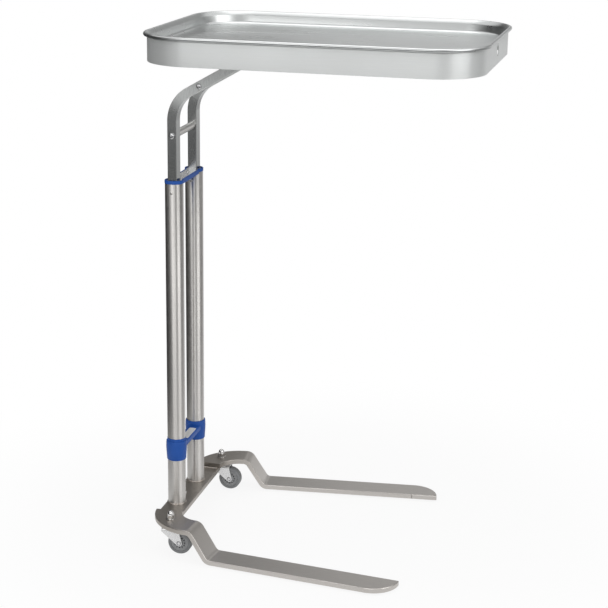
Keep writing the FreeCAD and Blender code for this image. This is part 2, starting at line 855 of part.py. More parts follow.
def make_caster(name, side):
    y = d.stem_y * side
    under = CROSSBAR_TOP
    head_top = CROWN_LOW - d.part_gap
    stem = turned(
        name + "Stem",
        [
            (0, head_top - d.stem_head),
            (d.stem_head_radius, head_top - d.stem_head),
            (d.stem_head_radius, head_top),
            (d.stem_radius, head_top),
            (d.stem_radius, under - d.race_thick),
            (d.race_radius, under - d.race_thick),
            (d.race_radius, under),
            (d.stem_radius, under),
            (d.stem_radius, PLATE_TOP + d.stem_above_plate),
            (0, PLATE_TOP + d.stem_above_plate),
        ],
    )
    piece(name + "_caster_stem", move(stem, STEM_X, y))

    inside = d.wheel_width / 2 + d.fork_gap
    outside = inside + d.fork_sheet
    axle_x = d.caster_trail
    axle_z = d.wheel_radius
    back_s = sine(d.fork_back_angle)
    back_c = cosine(d.fork_back_angle)
    front_s = sine(d.fork_front_angle)
    front_c = cosine(d.fork_front_angle)
    cheek_foot = CROWN_TOP - d.fork_side_depth
    body = new_body(name + "ForkBlank")
    outline = sketch_on(body, "XZ_Plane", name + "ForkSide")
    corners = [
        (-d.fork_back, CROWN_TOP),
        (-d.fork_back, cheek_foot),
        (axle_x - d.fork_end_radius * back_c, axle_z - d.fork_end_radius * back_s),
        (axle_x + d.fork_end_radius * front_c, axle_z + d.fork_end_radius * front_s),
        (d.fork_front, cheek_foot),
        (d.fork_front, CROWN_TOP),
    ]
    draw(outline, corners, {2: (d.fork_end_radius, 1)})
    pad(body, outline, outside * 2, both_ways=True)
    move(body, STEM_X, y)
    wheel_space = block(
        name + "ForkSpace",
        (STEM_X - d.fork_back - OVERRUN, y - inside, 0),
        (STEM_X + axle_x + d.fork_end_radius + OVERRUN, y + inside, CROWN_LOW),
    )
    axle = rod(
        name + "AxlePin",
        d.axle_radius,
        (outside + d.axle_head) * 2,
        (STEM_X + axle_x, y - outside - d.axle_head, axle_z),
        "y",
    )
    fit = d.stem_radius + d.part_gap
    stem_hole = rod(name + "CrownHole", fit, d.fork_sheet, (STEM_X, y, CROWN_LOW))
    cup = rod(name + "Cup", d.race_radius, d.race_step, (STEM_X, y, CROWN_TOP))
    cup_hole = rod(name + "CupHole", d.race_inner, d.race_step, (STEM_X, y, CROWN_TOP))
    fork = cut(name + "Fork", body, wheel_space, axle, stem_hole)
    piece(name + "_caster_fork", fuse(name + "ForkCup", fork, cut(name + "CupRing", cup, cup_hole)))

    balls = []
    for number in range(int(d.balls.value)):
        angle = Size(360) * number / d.balls
        ball = doc.addObject("Part::Sphere", name + "Ball%d" % number)
        bind(ball, "Radius", d.ball_radius)
        move(
            ball,
            STEM_X + d.ball_ring * cosine(angle),
            y + d.ball_ring * sine(angle),
            CROWN_TOP + d.race_step + d.ball_radius,
        )
        balls.append(ball)
    piece(name + "_swivel_balls", group(name + "Balls", *balls))

    heads = []
    for end, sign in (("Low", -1), ("High", 1)):
        low_y = y + outside * sign
        foot = low_y - d.axle_head if sign < 0 else low_y
        radii = (d.axle_radius, d.axle_head_radius)
        small, large = radii if sign < 0 else radii[::-1]
        place = (STEM_X + axle_x, foot, axle_z)
        heads.append(cone(name + end + "AxleHead", small, large, d.axle_head, place, "y"))
    piece(name + "_caster_axle", fuse(name + "Axle", axle, *heads))

    half = d.wheel_width / 2
    rim = d.wheel_radius - d.tyre_thick
    tyre = turned(
        name + "Tyre",
        [
            (rim, -half),
            (d.wheel_radius - d.tyre_edge, -half),
            (d.wheel_radius, -half + d.tyre_edge),
            (d.wheel_radius, half - d.tyre_edge),
            (d.wheel_radius - d.tyre_edge, half),
            (rim, half),
        ],
        {1: (d.tyre_edge, 1), 3: (d.tyre_edge, 1)},
    )
    tyre.Placement = Placement(Vector(), AXES["y"])
    piece(name + "_caster_tyre", move(tyre, STEM_X + axle_x, y, axle_z))
    bore = d.axle_radius + d.axle_fit
    disc = d.hub_disc_width / 2
    boss = d.hub_boss_width / 2
    hub = turned(
        name + "Hub",
        [
            (bore, -boss),
            (d.hub_boss_radius, -boss),
            (d.hub_boss_radius, -disc),
            (rim, -disc),
            (rim, disc),
            (d.hub_boss_radius, disc),
            (d.hub_boss_radius, boss),
            (bore, boss),
        ],
    )
    hub.Placement = Placement(Vector(), AXES["y"])
    move(hub, STEM_X + axle_x, y, axle_z)
    holes = []
    for number in range(int(d.hub_holes.value)):
        angle = Size(360) * number / d.hub_holes
        place = (
            STEM_X + axle_x + d.hub_hole_ring * cosine(angle),
            y - disc,
            axle_z + d.hub_hole_ring * sine(angle),
        )
        holes.append(rod(name + "HubHole%d" % number, d.hub_hole_radius, disc * 2, place, "y"))
    piece(name + "_caster_hub", cut(name + "HubCut", hub, group(name + "HubHoles", *holes)))


def make_nuts():
    """Cap nuts and washers on the caster stems."""
    nuts = []
    washers = []
    for name, side in SIDES:
        y = d.stem_y * side
        foot = PLATE_TOP + d.washer_thick
        washer = rod(name + "WasherDisc", d.washer_radius, d.washer_thick, (STEM_X, y, PLATE_TOP))
        stem = rod(name + "NutStem", d.stem_radius, d.stem_above_plate, (STEM_X, y, PLATE_TOP))
        washers.append(cut(name + "Washer", washer, stem))
        hexagon = doc.addObject("Part::Prism", name + "NutHex")
        hexagon.Polygon = 6
        bind(hexagon, "Circumradius", d.nut_flats / root(Size(3)))
        bind(hexagon, "Height", d.nut_height)
        move(hexagon, STEM_X, y, foot)
        bore = d.stem_radius + d.part_gap
        cap = dome(name + "NutDome", d.nut_dome_radius, d.nut_dome, foot + d.nut_height, bore, OVERRUN)
        move(cap, STEM_X, y)
        nuts.append(cut(name + "Nut", fuse(name + "NutWhole", hexagon, cap), stem))
    piece("stem_washers", group("Washers", *washers))
    piece("stem_cap_nuts", group("Nuts", *nuts))


TURN = 90 - d.bar_slope
RUN_TOP = d.rim_top - d.tray_depth - d.tray_sheet - d.strap_gap - d.strap_sheet
RUN_MID = RUN_TOP - BAR_HALF_X
SECOND_Z = RUN_MID - d.bar_bend_radius
SLOPE_X = d.bar_bend_radius * (1 - cosine(TURN))
SLOPE_Z = BEND_Z + d.bar_bend_radius * sine(TURN)
SECOND_X = (
    SLOPE_X
    + (SECOND_Z + d.bar_bend_radius * cosine(d.bar_slope) - SLOPE_Z) / tangent(d.bar_slope)
    + d.bar_bend_radius * sine(d.bar_slope)
)


def slope_point(along):
    return SLOPE_X + along * cosine(d.bar_slope), SLOPE_Z + along * sine(d.bar_slope)


ROD_PLACES = (
    ("lower", (Size(0), BEND_Z - d.rod_lower_drop)),
    ("middle", slope_point(d.rod_middle_along)),
    ("upper", slope_point(d.rod_upper_along)),
)


def bar_outline():
    """A lifting bar's side view, with x counted from the post."""
    inner = d.bar_bend_radius - BAR_HALF_X
    outer = d.bar_bend_radius + BAR_HALF_X
    s_turn, c_turn = sine(TURN), cosine(TURN)
    s_slope, c_slope = sine(d.bar_slope), cosine(d.bar_slope)
    middle = d.bar_bend_radius
    run_end = d.rim_length / 2 - d.bar_end_inset - POST_X
    corners = [
        (BAR_HALF_X, BAR_FOOT),
        (BAR_HALF_X, BEND_Z),
        (middle - inner * c_turn, BEND_Z + inner * s_turn),
        (SECOND_X - inner * s_slope, SECOND_Z + inner * c_slope),
        (SECOND_X, RUN_MID - BAR_HALF_X),
        (run_end, RUN_MID - BAR_HALF_X),
        (run_end, RUN_TOP),
        (SECOND_X, RUN_TOP),
        (SECOND_X - outer * s_slope, SECOND_Z + outer * c_slope),
        (middle - outer * c_turn, BEND_Z + outer * s_turn),
        (-BAR_HALF_X, BEND_Z),
        (-BAR_HALF_X, BAR_FOOT),
    ]
    return corners, {1: (inner, -1), 3: (inner, -1), 7: (outer, 1), 9: (outer, 1)}


STRAPS = (("rear", 0), ("middle", 1), ("front", 2))


def strap_x(number):
    """The rear strap follows the bars' second bend, the front one the rim's front end."""
    rear = POST_X + SECOND_X + d.strap_rear_clear + d.strap_width / 2
    front = d.rim_length / 2 - d.strap_front_inset
    return rear + (front - rear) * number / 2


def make_strap_screws():
    """Countersunk screws through the straps; their shapes also cut the holes."""
    screws = []
    top = RUN_TOP + d.strap_sheet
    sink = d.strap_sheet - d.screw_land
    for name, side in SIDES:
        for strap, number in STRAPS:
            x = strap_x(number)
            y = POST_Y * side
            head = cone(
                name + strap + "Sink",
                d.screw_radius,
                d.countersink_radius,
                sink,
                (x, y, top - sink),
            )
            shank = rod(name + strap + "Shank", d.screw_radius, d.screw_depth, (x, y, top - d.screw_depth))
            screws.append(fuse(name + strap + "Screw", head, shank))
    item = group("StrapScrews", *screws)
    piece("strap_screws", item)
    return item


def make_straps(screws):
    inside = new_body("BandInside")
    outline = sketch_on(inside, "XY_Plane", "BandInsidePlan", RUN_TOP)
    inset = d.band_inset + d.band_sheet
    draw(
        outline,
        *rounded_rectangle(
            d.rim_length / 2 - inset,
            d.rim_width / 2 - inset,
            d.rim_corner - inset,
        ),
    )
    pad(inside, outline, d.strap_sheet)
    for name, number in STRAPS:
        x = strap_x(number)
        flat = block(
            name + "StrapFlat",
            (x - d.strap_width / 2, -d.rim_width / 2, RUN_TOP),
            (x + d.strap_width / 2, d.rim_width / 2, RUN_TOP + d.strap_sheet),
        )
        piece(name + "_strap", cut(name + "Strap", common(name + "StrapInside", flat, inside), screws))


def make_bar(name, side, screws):
    y = POST_Y * side
    body = new_body(name + "BarBody")
    outline = sketch_on(body, "XZ_Plane", name + "BarSide")
    draw(outline, *bar_outline())
    solid = pad(body, outline, d.bar_y, both_ways=True)
    edge_y = BAR_HALF_Y.value
    chamfer(body, solid, lambda point: abs(abs(point.y) - edge_y) < MATCH, d.bar_edge)
    move(body, POST_X, y)
    holes = []
    for place, (x, z) in ROD_PLACES:
        start = (POST_X + x, y - BAR_HALF_Y, z)
        holes.append(rod(name + place + "BarHole", d.screw_radius, d.bar_y, start, "y"))
    piece(name + "_mast_bar", cut(name + "Bar", body, screws, *holes))


def make_rods():
    """Spacer rods between the bars, and the screws that hold their ends."""
    screws = []
    inner = POST_Y - BAR_HALF_Y
    outer = POST_Y + BAR_HALF_Y
    reach = outer + d.screw_head
    for place, (x, z) in ROD_PLACES:
        x = POST_X + x
        bar = rod(place + "RodBar", d.rod_radius, inner * 2, (x, -inner, z), "y")
        ends = []
        for name, side in SIDES:
            length = d.bar_y + d.screw_depth
            shank_y = outer - length if side > 0 else -outer
            ends.append(rod(name + place + "ScrewShank", d.screw_radius, length, (x, shank_y, z), "y"))
            radii = (d.screw_face_radius, d.screw_head_radius)
            small, large = radii if side < 0 else radii[::-1]
            head_y = outer if side > 0 else -reach
            head = cone(name + place + "ScrewHead", small, large, d.screw_head, (x, head_y, z), "y")
            screws.append(fuse(name + place + "Screw", head, ends[-1]))
        piece(place + "_spacer_rod", cut(place + "Rod", bar, *ends))
    piece("spacer_screws", group("SpacerScrews", *screws))


def make_slider(name, side):
    """Foot of a lifting bar, a loose fit in the tube and open towards the pull rod."""
    y = POST_Y * side
    top = BAR_FOOT + d.slider_length
    radius = BORE_RADIUS - d.part_gap
    round_bar = rod(name + "SliderRound", radius, d.slider_length, (POST_X, y, BAR_FOOT))
    keep = block(
        name + "SliderKeep",
        (POST_X - BAR_HALF_X, y - radius, BAR_FOOT),
        (POST_X + radius, y + radius, top),
    )
    bar = block(
        name + "SliderBar",
        (POST_X - BAR_HALF_X, y - BAR_HALF_Y, BAR_FOOT),
        (POST_X + BAR_HALF_X, y + BAR_HALF_Y, top),
    )
    piece(name + "_bar_slider", cut(name + "Slider", common(name + "SliderShape", round_bar, keep), bar))


def make_band():
    body = new_body("BandBody")
    top = d.rim_top - d.band_top_drop
    outline = sketch_on(body, "XY_Plane", "BandPlan", top - d.band_height)
    for inset in (d.band_inset, d.band_inset + d.band_sheet):
        draw(
            outline,
            *rounded_rectangle(
                d.rim_length / 2 - inset,
                d.rim_width / 2 - inset,
                d.rim_corner - inset,
            ),
        )
    pad(body, outline, d.band_height)
    hole = rod(
        "FingerHole",
        d.finger_hole_radius,
        d.band_inset * 4,
        (d.rim_length / 2 - d.band_inset * 3, 0, d.rim_top - d.finger_hole_drop),
        "x",
    )
    piece("tray_band", cut("Band", body, hole))


def tray_section():
    """The tray's wall and rolled rim at the middle of its +X end."""
    half = d.rim_length / 2
    top = d.rim_top
    floor = top - d.tray_depth
    s = sine(d.tray_wall_slope)
    c = cosine(d.tray_wall_slope)
    inner = d.tray_floor_radius
    outer = inner + d.tray_sheet
    centre_x = half - d.tray_floor_edge
    centre_z = floor + inner
    rise = top - d.tray_wall_top - centre_z
    bead = d.rim_bead_radius
    bead_x = half - bead
    bead_z = top - bead
    diagonal = bead / root(Size(2))
    corners = [
        (centre_x - d.tray_floor_lap, floor - d.tray_sheet),
        (centre_x, floor - d.tray_sheet),
        (centre_x + outer * c, centre_z - outer * s),
        (centre_x + outer / c + rise * s / c, centre_z + rise),
        (bead_x - diagonal, bead_z - diagonal),
        (bead_x, bead_z - bead),
        (half, bead_z),
        (bead_x, top),
        (bead_x - diagonal, bead_z + diagonal),
        (centre_x + inner / c + rise * s / c, centre_z + rise),
        (centre_x + inner * c, centre_z - inner * s),
        (centre_x, floor),
        (centre_x - d.tray_floor_lap, floor),
    ]
    arcs = {side: (bead, 1) for side in (4, 5, 6, 7)}
    arcs[1] = (outer, 1)
    arcs[10] = (inner, -1)
    return corners, arcs


def make_tray():
    section = doc.addObject("Sketcher::SketchObject", "TraySection")
    section.Placement = Placement(Vector(), Rotation(Vector(1, 0, 0), 90))
    draw(section, *tray_section())
    path = doc.addObject("Sketcher::SketchObject", "TrayPath")
    draw(path, *rounded_rectangle(d.rim_length / 2, d.rim_width / 2, d.rim_corner))
    doc.recompute()
    wall = doc.addObject("Part::Sweep", "TrayWall")
    wall.Sections = [section]
    wall.Spine = (path, ["Edge%d" % number for number in range(1, len(path.Shape.Edges) + 1)])
    wall.Solid = True
    body = new_body("TrayFloor")
    floor = d.rim_top - d.tray_depth
    outline = sketch_on(body, "XY_Plane", "TrayFloorPlan", floor - d.tray_sheet)
    inset = d.tray_floor_edge + d.tray_floor_lap / 2
    draw(
        outline,
        *rounded_rectangle(
            d.rim_length / 2 - inset,
            d.rim_width / 2 - inset,
            d.rim_corner - inset,
        ),
    )
    pad(body, outline, d.tray_sheet)
    piece("instrument_tray", fuse("Tray", wall, body))


def make_yoke():
    """Foot release: two sleeves on the posts, a web to step on, its bare plate and studs."""
    foot = YOKE_FOOT
    bore = TUBE_RADIUS + d.part_gap
    web = block(
        "YokeWeb",
        (POST_X - d.yoke_web_back, -POST_Y, foot + d.yoke_web_under),
        (POST_X + d.yoke_web_front, POST_Y, foot + d.yoke_web_top),
    )
    shapes = [web]
    bores = []
    pins = []
    for name, side in SIDES:
        y = POST_Y * side
        sleeve = turned(
            name + "Sleeve",
            [
                (bore, 0),
                (bore + d.yoke_rim, 0),
                (d.yoke_low_radius, d.yoke_low),
                (d.yoke_radius, d.yoke_widest),
                (bore + d.yoke_rim, d.yoke_sleeve),
                (bore, d.yoke_sleeve),
            ],
        )
        shapes.append(move(sleeve, POST_X, y, foot))
        bores.append(rod(name + "YokeBore", bore, d.yoke_sleeve, (POST_X, y, foot)))
        pin_x = POST_X - d.yoke_radius + d.part_gap
        length = d.yoke_radius - d.part_gap - d.eye_inner_x
        pins.append(rod(name + "StudPin", d.stud_pin_radius, length, (pin_x, y, RELEASE_Z), "x"))
    body = fuse("YokeWhole", *shapes)
    piece("foot_yoke", cut("Yoke", body, *bores, *pins))
    label_x = POST_X - d.label_back
    label_z = foot + d.yoke_web_top
    label = block(
        "LabelPlate",
        (label_x, -d.label_length / 2, label_z),
        (label_x + d.label_width, d.label_length / 2, label_z + d.label_thick),
    )
    piece("yoke_plate", label)
    piece("yoke_studs", group("YokeStuds", *pins))


def make_release(name, side):
    y = POST_Y * side
    rod_x = POST_X - d.pull_rod_x
    eye = block(
        name + "Eye",
        (POST_X - d.eye_outer_x, y - d.eye_half_y, RELEASE_Z - d.eye_half_z),
        (POST_X - d.eye_inner_x, y + d.eye_half_y, RELEASE_Z + d.eye_half_z),
    )
    eye_top = RELEASE_Z + d.eye_half_z
    length = SHOE_FOOT + d.shoe_length / 3 - eye_top
    wire = rod(name + "PullWire", d.pull_rod_radius, length, (rod_x, y, eye_top))
    pin = rod(
        name + "EyeHole",
        d.stud_pin_radius,
        d.eye_outer_x - d.eye_inner_x,
        (POST_X - d.eye_outer_x, y, RELEASE_Z),
        "x",
    )
    piece(name + "_pull_rod", cut(name + "PullRod", fuse(name + "PullWhole", eye, wire), pin))

    body = new_body(name + "ShoeWedge")
    outline = sketch_on(body, "XZ_Plane", name + "ShoeSide")
    top = SHOE_TOP
    corners = [
        (-d.shoe_outer_x, SHOE_FOOT),
        (-d.shoe_inner_x, SHOE_FOOT),
        (-d.shoe_inner_x, top),
        (-wedge_x(top), top),
    ]
    draw(outline, corners)
    pad(body, outline, d.shoe_half_y * 2, both_ways=True)
    move(body, POST_X, y)
    bore = rod(name + "ShoeBore", BORE_RADIUS - d.part_gap, d.shoe_length, (POST_X, y, SHOE_FOOT))
    shoe = cut(name + "Shoe", common(name + "ShoeShape", body, bore), wire)
    piece(name + "_brake_shoe", shoe)

    wire_radius = d.spring_wire_radius
    height = SHOE_FOOT - SEAT_TOP - wire_radius * 2
    helix = doc.addObject("Part::Helix", name + "SpringPath")
    bind(helix, "Radius", d.spring_radius)
    bind(helix, "Height", height)
    bind(helix, "Pitch", height / d.spring_turns)
    ring = doc.addObject("Part::Circle", name + "SpringWire")
    bind(ring, "Radius", wire_radius)
    ring.Placement = Placement(Vector(), Rotation(Vector(1, 0, 0), 90))
    bind(ring, "Placement.Base.x", d.spring_radius)
    doc.recompute()
    coil = doc.addObject("Part::Sweep", name + "Coil")
    coil.Sections = [ring]
    coil.Spine = (helix, ["Edge%d" % number for number in range(1, len(helix.Shape.Edges) + 1)])
    coil.Solid = True
    coil.Frenet = True
    piece(name + "_return_spring", move(coil, rod_x, y, SEAT_TOP + wire_radius))


make_crossbar()
make_stud()
make_welds()
make_rivets()
make_collar()
make_nuts()
STRAP_SCREWS = make_strap_screws()
make_straps(STRAP_SCREWS)
make_rods()
make_band()
make_tray()
make_yoke()
for side_name, side_sign in SIDES:
    make_leg(side_name, side_sign)
    make_glides(side_name, side_sign)
    make_post(side_name, side_sign)
    make_guide(side_name, side_sign)
    make_spring_seat(side_name, side_sign)
    make_caster(side_name, side_sign)
    make_bar(side_name, side_sign, STRAP_SCREWS)
    make_slider(side_name, side_sign)
    make_release(side_name, side_sign)

doc.recompute()

faults = []
for item in doc.Objects:
    if "Invalid" in item.State or "Error" in item.State:
        faults.append("%s: %s" % (item.Name, ", ".join(item.State)))
for label, item in PARTS:
    shape = item.Shape
    if shape.isNull() or not shape.isValid():
        faults.append("%s has no valid shape" % label)
if faults:
    raise RuntimeError("; ".join(faults))

os.makedirs("parts", exist_ok=True)
for label, item in PARTS:
    item.Shape.exportStep("parts/%s.step" % label)
    reach = item.Shape.BoundBox
    print(label, round(reach.XMin, 1), round(reach.XMax, 1), len(item.Shape.Solids))
print("%d sub-parts written" % len(PARTS))
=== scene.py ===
"""Looks of the instrument stand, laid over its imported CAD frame.

Metres, +Z up, the legs point along +X.  A maker works out its piece's surface as a grid of
points P[row, column] in whole arrays, and its docstring gives the formula in words.
"""
import math

import bpy
import numpy as np
from mathutils import Matrix, Vector


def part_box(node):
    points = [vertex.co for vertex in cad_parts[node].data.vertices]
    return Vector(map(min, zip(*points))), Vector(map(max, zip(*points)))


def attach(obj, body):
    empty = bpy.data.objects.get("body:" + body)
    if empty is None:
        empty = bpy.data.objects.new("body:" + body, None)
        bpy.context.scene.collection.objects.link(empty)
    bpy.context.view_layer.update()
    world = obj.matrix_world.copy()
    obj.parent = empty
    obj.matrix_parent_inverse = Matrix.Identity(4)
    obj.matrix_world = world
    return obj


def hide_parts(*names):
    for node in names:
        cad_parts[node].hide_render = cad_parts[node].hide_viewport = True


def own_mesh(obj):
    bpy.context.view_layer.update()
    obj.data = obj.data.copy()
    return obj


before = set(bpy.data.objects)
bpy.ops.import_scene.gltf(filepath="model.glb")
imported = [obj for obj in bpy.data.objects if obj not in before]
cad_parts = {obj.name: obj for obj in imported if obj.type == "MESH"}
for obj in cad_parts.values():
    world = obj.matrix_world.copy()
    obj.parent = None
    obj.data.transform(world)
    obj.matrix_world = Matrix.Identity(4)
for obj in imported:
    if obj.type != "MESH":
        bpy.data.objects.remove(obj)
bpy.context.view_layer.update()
scene = bpy.context.scene
MM = 0.001
SHARP = 0.05 * MM
SIDES = {"near": -1, "far": 1}
BOTH = (-1, 1)


# Surfaces


def grid(*parts):
    """Points from arrays of coordinates, each spread over the others' rows and columns."""
    return np.stack(np.broadcast_arrays(*parts), -1)


def chain(*runs):
    """Runs of points, one after another."""
    return np.concatenate(runs)


def placed(name, data):
    """An object in the scene that holds this mesh, camera or lamp."""
    holder = bpy.data.objects.new(name, data)
    scene.collection.objects.link(holder)
    return holder


def skin(name, points, round_rows=False, round_columns=True, ends=True, crease=35.0):
    """A mesh over the grid P: face (r, c) joins P[r, c], P[r, c+1], P[r+1, c+1] and P[r+1, c].

    Rows and columns that run round close on themselves, and a flat face closes each open end.
    All faces turn over where the enclosed volume, a sixth of the sum of a . (b x c), is negative.
    """
    points = np.asarray(points, float)
    rows, columns = points.shape[:2]
    index = np.arange(rows * columns).reshape(rows, columns)
    caps = [index[0, ::-1], index[-1]] if ends and not round_rows else []
    if round_rows:
        index = np.concatenate([index, index[:1]], 0)
    if round_columns:
        index = np.concatenate([index, index[:, :1]], 1)
    quads = grid(index[:-1, :-1], index[:-1, 1:], index[1:, 1:], index[1:, :-1]).reshape(-1, 4)
    flat = points.reshape(-1, 3)
    corners = np.moveaxis((flat - flat.mean(0))[quads], 1, 0)
    volume = np.sum(corners[0] * np.cross(corners[1], corners[2]))
    volume += np.sum(corners[0] * np.cross(corners[2], corners[3]))
    for cap in caps:
        ring = flat[cap] - flat.mean(0)
        volume += np.sum(ring[0] * np.cross(ring[1:-1], ring[2:]))
    turn = -1 if volume < 0 else 1
    faces = quads[:, ::turn].tolist() + [cap[::turn].tolist() for cap in caps]
    mesh = bpy.data.meshes.new(name)
    mesh.from_pydata(flat.tolist(), [], faces)
    mesh.validate()
    return smoothed(placed(name, mesh), crease)


def smoothed(piece, crease):
    """Smooth shading, with a crease where the surface turns by more than this many degrees."""
    piece.data.shade_smooth()
    piece.data.set_sharp_from_angle(angle=math.radians(crease))
    return piece


def sweep(start, end, steps):
    """Angles in radians, evenly from start to end degrees."""
    return np.radians(np.linspace(start, end, steps))


def full_turn(steps):
    """Angles evenly round a full turn, without the one that closes it."""
    return np.linspace(0, 2 * math.pi, steps, endpoint=False)


def arc(centre, radius, start, end, steps):
    """centre + radius (cos a, sin a), with a going from start to end degrees."""
    a = sweep(start, end, steps)
    return np.asarray(centre) + radius * grid(np.cos(a), np.sin(a))


def dome(radius, foot, rise, end, steps):
    """A dome's profile: (radius cos a, foot + rise sin a), with a going from 0 to end degrees."""
    return arc((0, 0), 1, 0, end, steps) * (radius, rise) + (0, foot)


def turned(name, profile, place, axis="z", around=72, crease=35.0, ring=False):
    """Turned on a lathe: P(k, a) = place + h_k along the axis + r_k (cos a, sin a) across it."""
    radius, height = np.asarray(profile, float).T[:, :, None]
    a = full_turn(around)
    first, second = radius * np.cos(a), radius * np.sin(a)
    order = {"z": (first, second, height), "y": (second, height, first), "x": (height, first, second)}
    points = grid(*order[axis]) + np.asarray(place, float)
    return skin(name, points, round_rows=ring, crease=crease)


def unit(vectors):
    """Each vector divided by its length."""
    return vectors / np.linalg.norm(vectors, axis=-1, keepdims=True)


def eased(corners, radii, steps=6):
    """An outline with arcs for corners: centre + (start turned by t times the corner's angle)."""
    corners = np.asarray(corners, float)
    radii = np.broadcast_to(np.asarray(radii, float), len(corners))[:, None]
    back = unit(np.roll(corners, 1, 0) - corners)
    ahead = unit(np.roll(corners, -1, 0) - corners)
    half = np.arccos(np.clip(np.sum(back * ahead, 1, keepdims=True), -1, 1)) / 2
    centre = corners + unit(back + ahead) * radii / np.sin(half)
    start = corners + back * radii / np.tan(half) - centre
    end = corners + ahead * radii / np.tan(half) - centre
    turn = np.arctan2(start[:, 0] * end[:, 1] - start[:, 1] * end[:, 0], np.sum(start * end, 1))
    a = turn[:, None] * np.linspace(0, 1, steps + 1)
    x = start[:, :1] * np.cos(a) - start[:, 1:] * np.sin(a)
    y = start[:, :1] * np.sin(a) + start[:, 1:] * np.cos(a)
    return (centre[:, None] + grid(x, y)).reshape(-1, 2)


def rectangle(low, high):
    """The corners of an upright rectangle."""
    return np.array([(low[0], low[1]), (high[0], low[1]), (high[0], high[1]), (low[0], high[1])])


def inward(outline):
    """The way into a closed outline at each point: its mean tangent turned a quarter."""
    ahead = unit(np.roll(outline, -1, 0) - outline)
    tangent = unit(ahead + unit(outline - np.roll(outline, 1, 0)))
    x, y = outline.T
    area = np.sum(x * np.roll(y, -1) - y * np.roll(x, -1))
    across = grid(-tangent[:, 1], tangent[:, 0]) * np.sign(area)
    return across / np.maximum(np.sum(tangent * ahead, 1), 0.3)[:, None]


def plate(name, outline, low, high, plane="xy", edge=0.6 * MM, steps=3, crease=35.0):
    """A plate with rounded edges: P(k, i) = outline_i + inset_k inward_i at height z_k.

    (inset, z) runs up a quarter circle, up the side, and back down the same quarter circle.
    """
    outline = np.asarray(outline, float)
    a = sweep(0, 90, steps + 1)
    first = grid(edge * (1 - np.sin(a)), low + edge * (1 - np.cos(a)))
    last = grid(first[::-1, 0], low + high - first[::-1, 1])
    inset, z = chain([(edge * 2.2, low)], first, last, [(edge * 2.2, high)]).T
    x, y = np.moveaxis(outline + inset[:, None, None] * inward(outline), -1, 0)
    rings = grid(x, y, z[:, None])
    order = {"xy": (0, 1, 2), "xz": (0, 2, 1), "yz": (2, 0, 1)}[plane]
    return skin(name, rings[..., order], crease=crease)


def carried(name, section, path, across, above, crease=35.0, ring=False):
    """A section carried along a path: P(i, j) = path_i + a_j across_i + b_j above_i."""
    section = np.broadcast_to(section, (len(path), *np.shape(section)[-2:]))
    points = path[:, None] + section[..., :1] * across[:, None] + section[..., 1:] * above[:, None]
    return skin(name, points, round_rows=ring, crease=crease)


def flat_sections(low, high, thick, low_edge, high_edge, steps=3):
    """Sections of a flat strip, one a station: each corner is centre + edge (cos t, sin t)."""
    columns = np.broadcast_arrays(*np.atleast_1d(low, high, thick, low_edge, high_edge))
    low, high, thick, low_edge, high_edge = (np.array(c, float)[:, None, None] for c in columns)
    t = (np.radians([180, 90, 0, -90])[:, None] - sweep(0, 90, steps + 1))[None]
    at_low = np.array([1, 0, 0, 1])[None, :, None]
    top = np.array([1, 1, -1, -1])[None, :, None]
    edge = low_edge * at_low + high_edge * (1 - at_low)
    u = (low + edge) * at_low + (high - edge) * (1 - at_low) + edge * np.cos(t)
    w = top * (thick / 2 - edge) + edge * np.sin(t)
    return grid(u, w).reshape(len(low), -1, 2)


def join(name, *pieces):
    """One object from several."""
    base = pieces[0]
    with bpy.context.temp_override(
        active_object=base, object=base, selected_objects=pieces, selected_editable_objects=pieces
    ):
        bpy.ops.object.join()
    base.name = name
    base.data.name = name
    return base


def shaped(piece, kind, *tools, crease=35.0):
    """Add closed tools to a piece with UNION, or cut them out with DIFFERENCE."""
    for tool in tools:
        step = piece.modifiers.new("shape", "BOOLEAN")
        step.operation = kind
        step.solver = "EXACT"
        step.object = tool
    graph = bpy.context.evaluated_depsgraph_get()
    mesh = bpy.data.meshes.new_from_object(piece.evaluated_get(graph))
    piece.modifiers.clear()
    piece.data = mesh
    for tool in tools:
        bpy.data.objects.remove(tool)
    return smoothed(piece, crease)


def levelled(piece):
    """Let large flat faces set the normals that they share with their rounded edges."""
    level = piece.modifiers.new("level", "WEIGHTED_NORMAL")
    level.keep_sharp = True
    level.weight = 100
    return piece


def painted(piece, material):
    """Give a piece this material alone."""
    piece.data.materials.clear()
    piece.data.materials.append(material)


def shown(piece, body, slot, material, *nodes):
    """Give a piece its finish, its body and the CAD nodes it stands for."""
    painted(piece, material)
    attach(piece, body)
    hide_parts(*nodes)
    return piece


# Materials


class Wire:
    """A socket that plain arithmetic can be written with; each operation is one Math node."""

    def __init__(self, finish, socket):
        self.finish = finish
        self.socket = socket

    def math(self, kind, first, second):
        return self.finish.node("ShaderNodeMath", {"operation": kind}, {0: first, 1: second})

    def __add__(self, other):
        return self.math("ADD", self, other)

    def __radd__(self, other):
        return self.math("ADD", other, self)

    def __sub__(self, other):
        return self.math("SUBTRACT", self, other)

    def __rsub__(self, other):
        return self.math("SUBTRACT", other, self)

    def __mul__(self, other):
        return self.math("MULTIPLY", self, other)

    def __rmul__(self, other):
        return self.math("MULTIPLY", other, self)


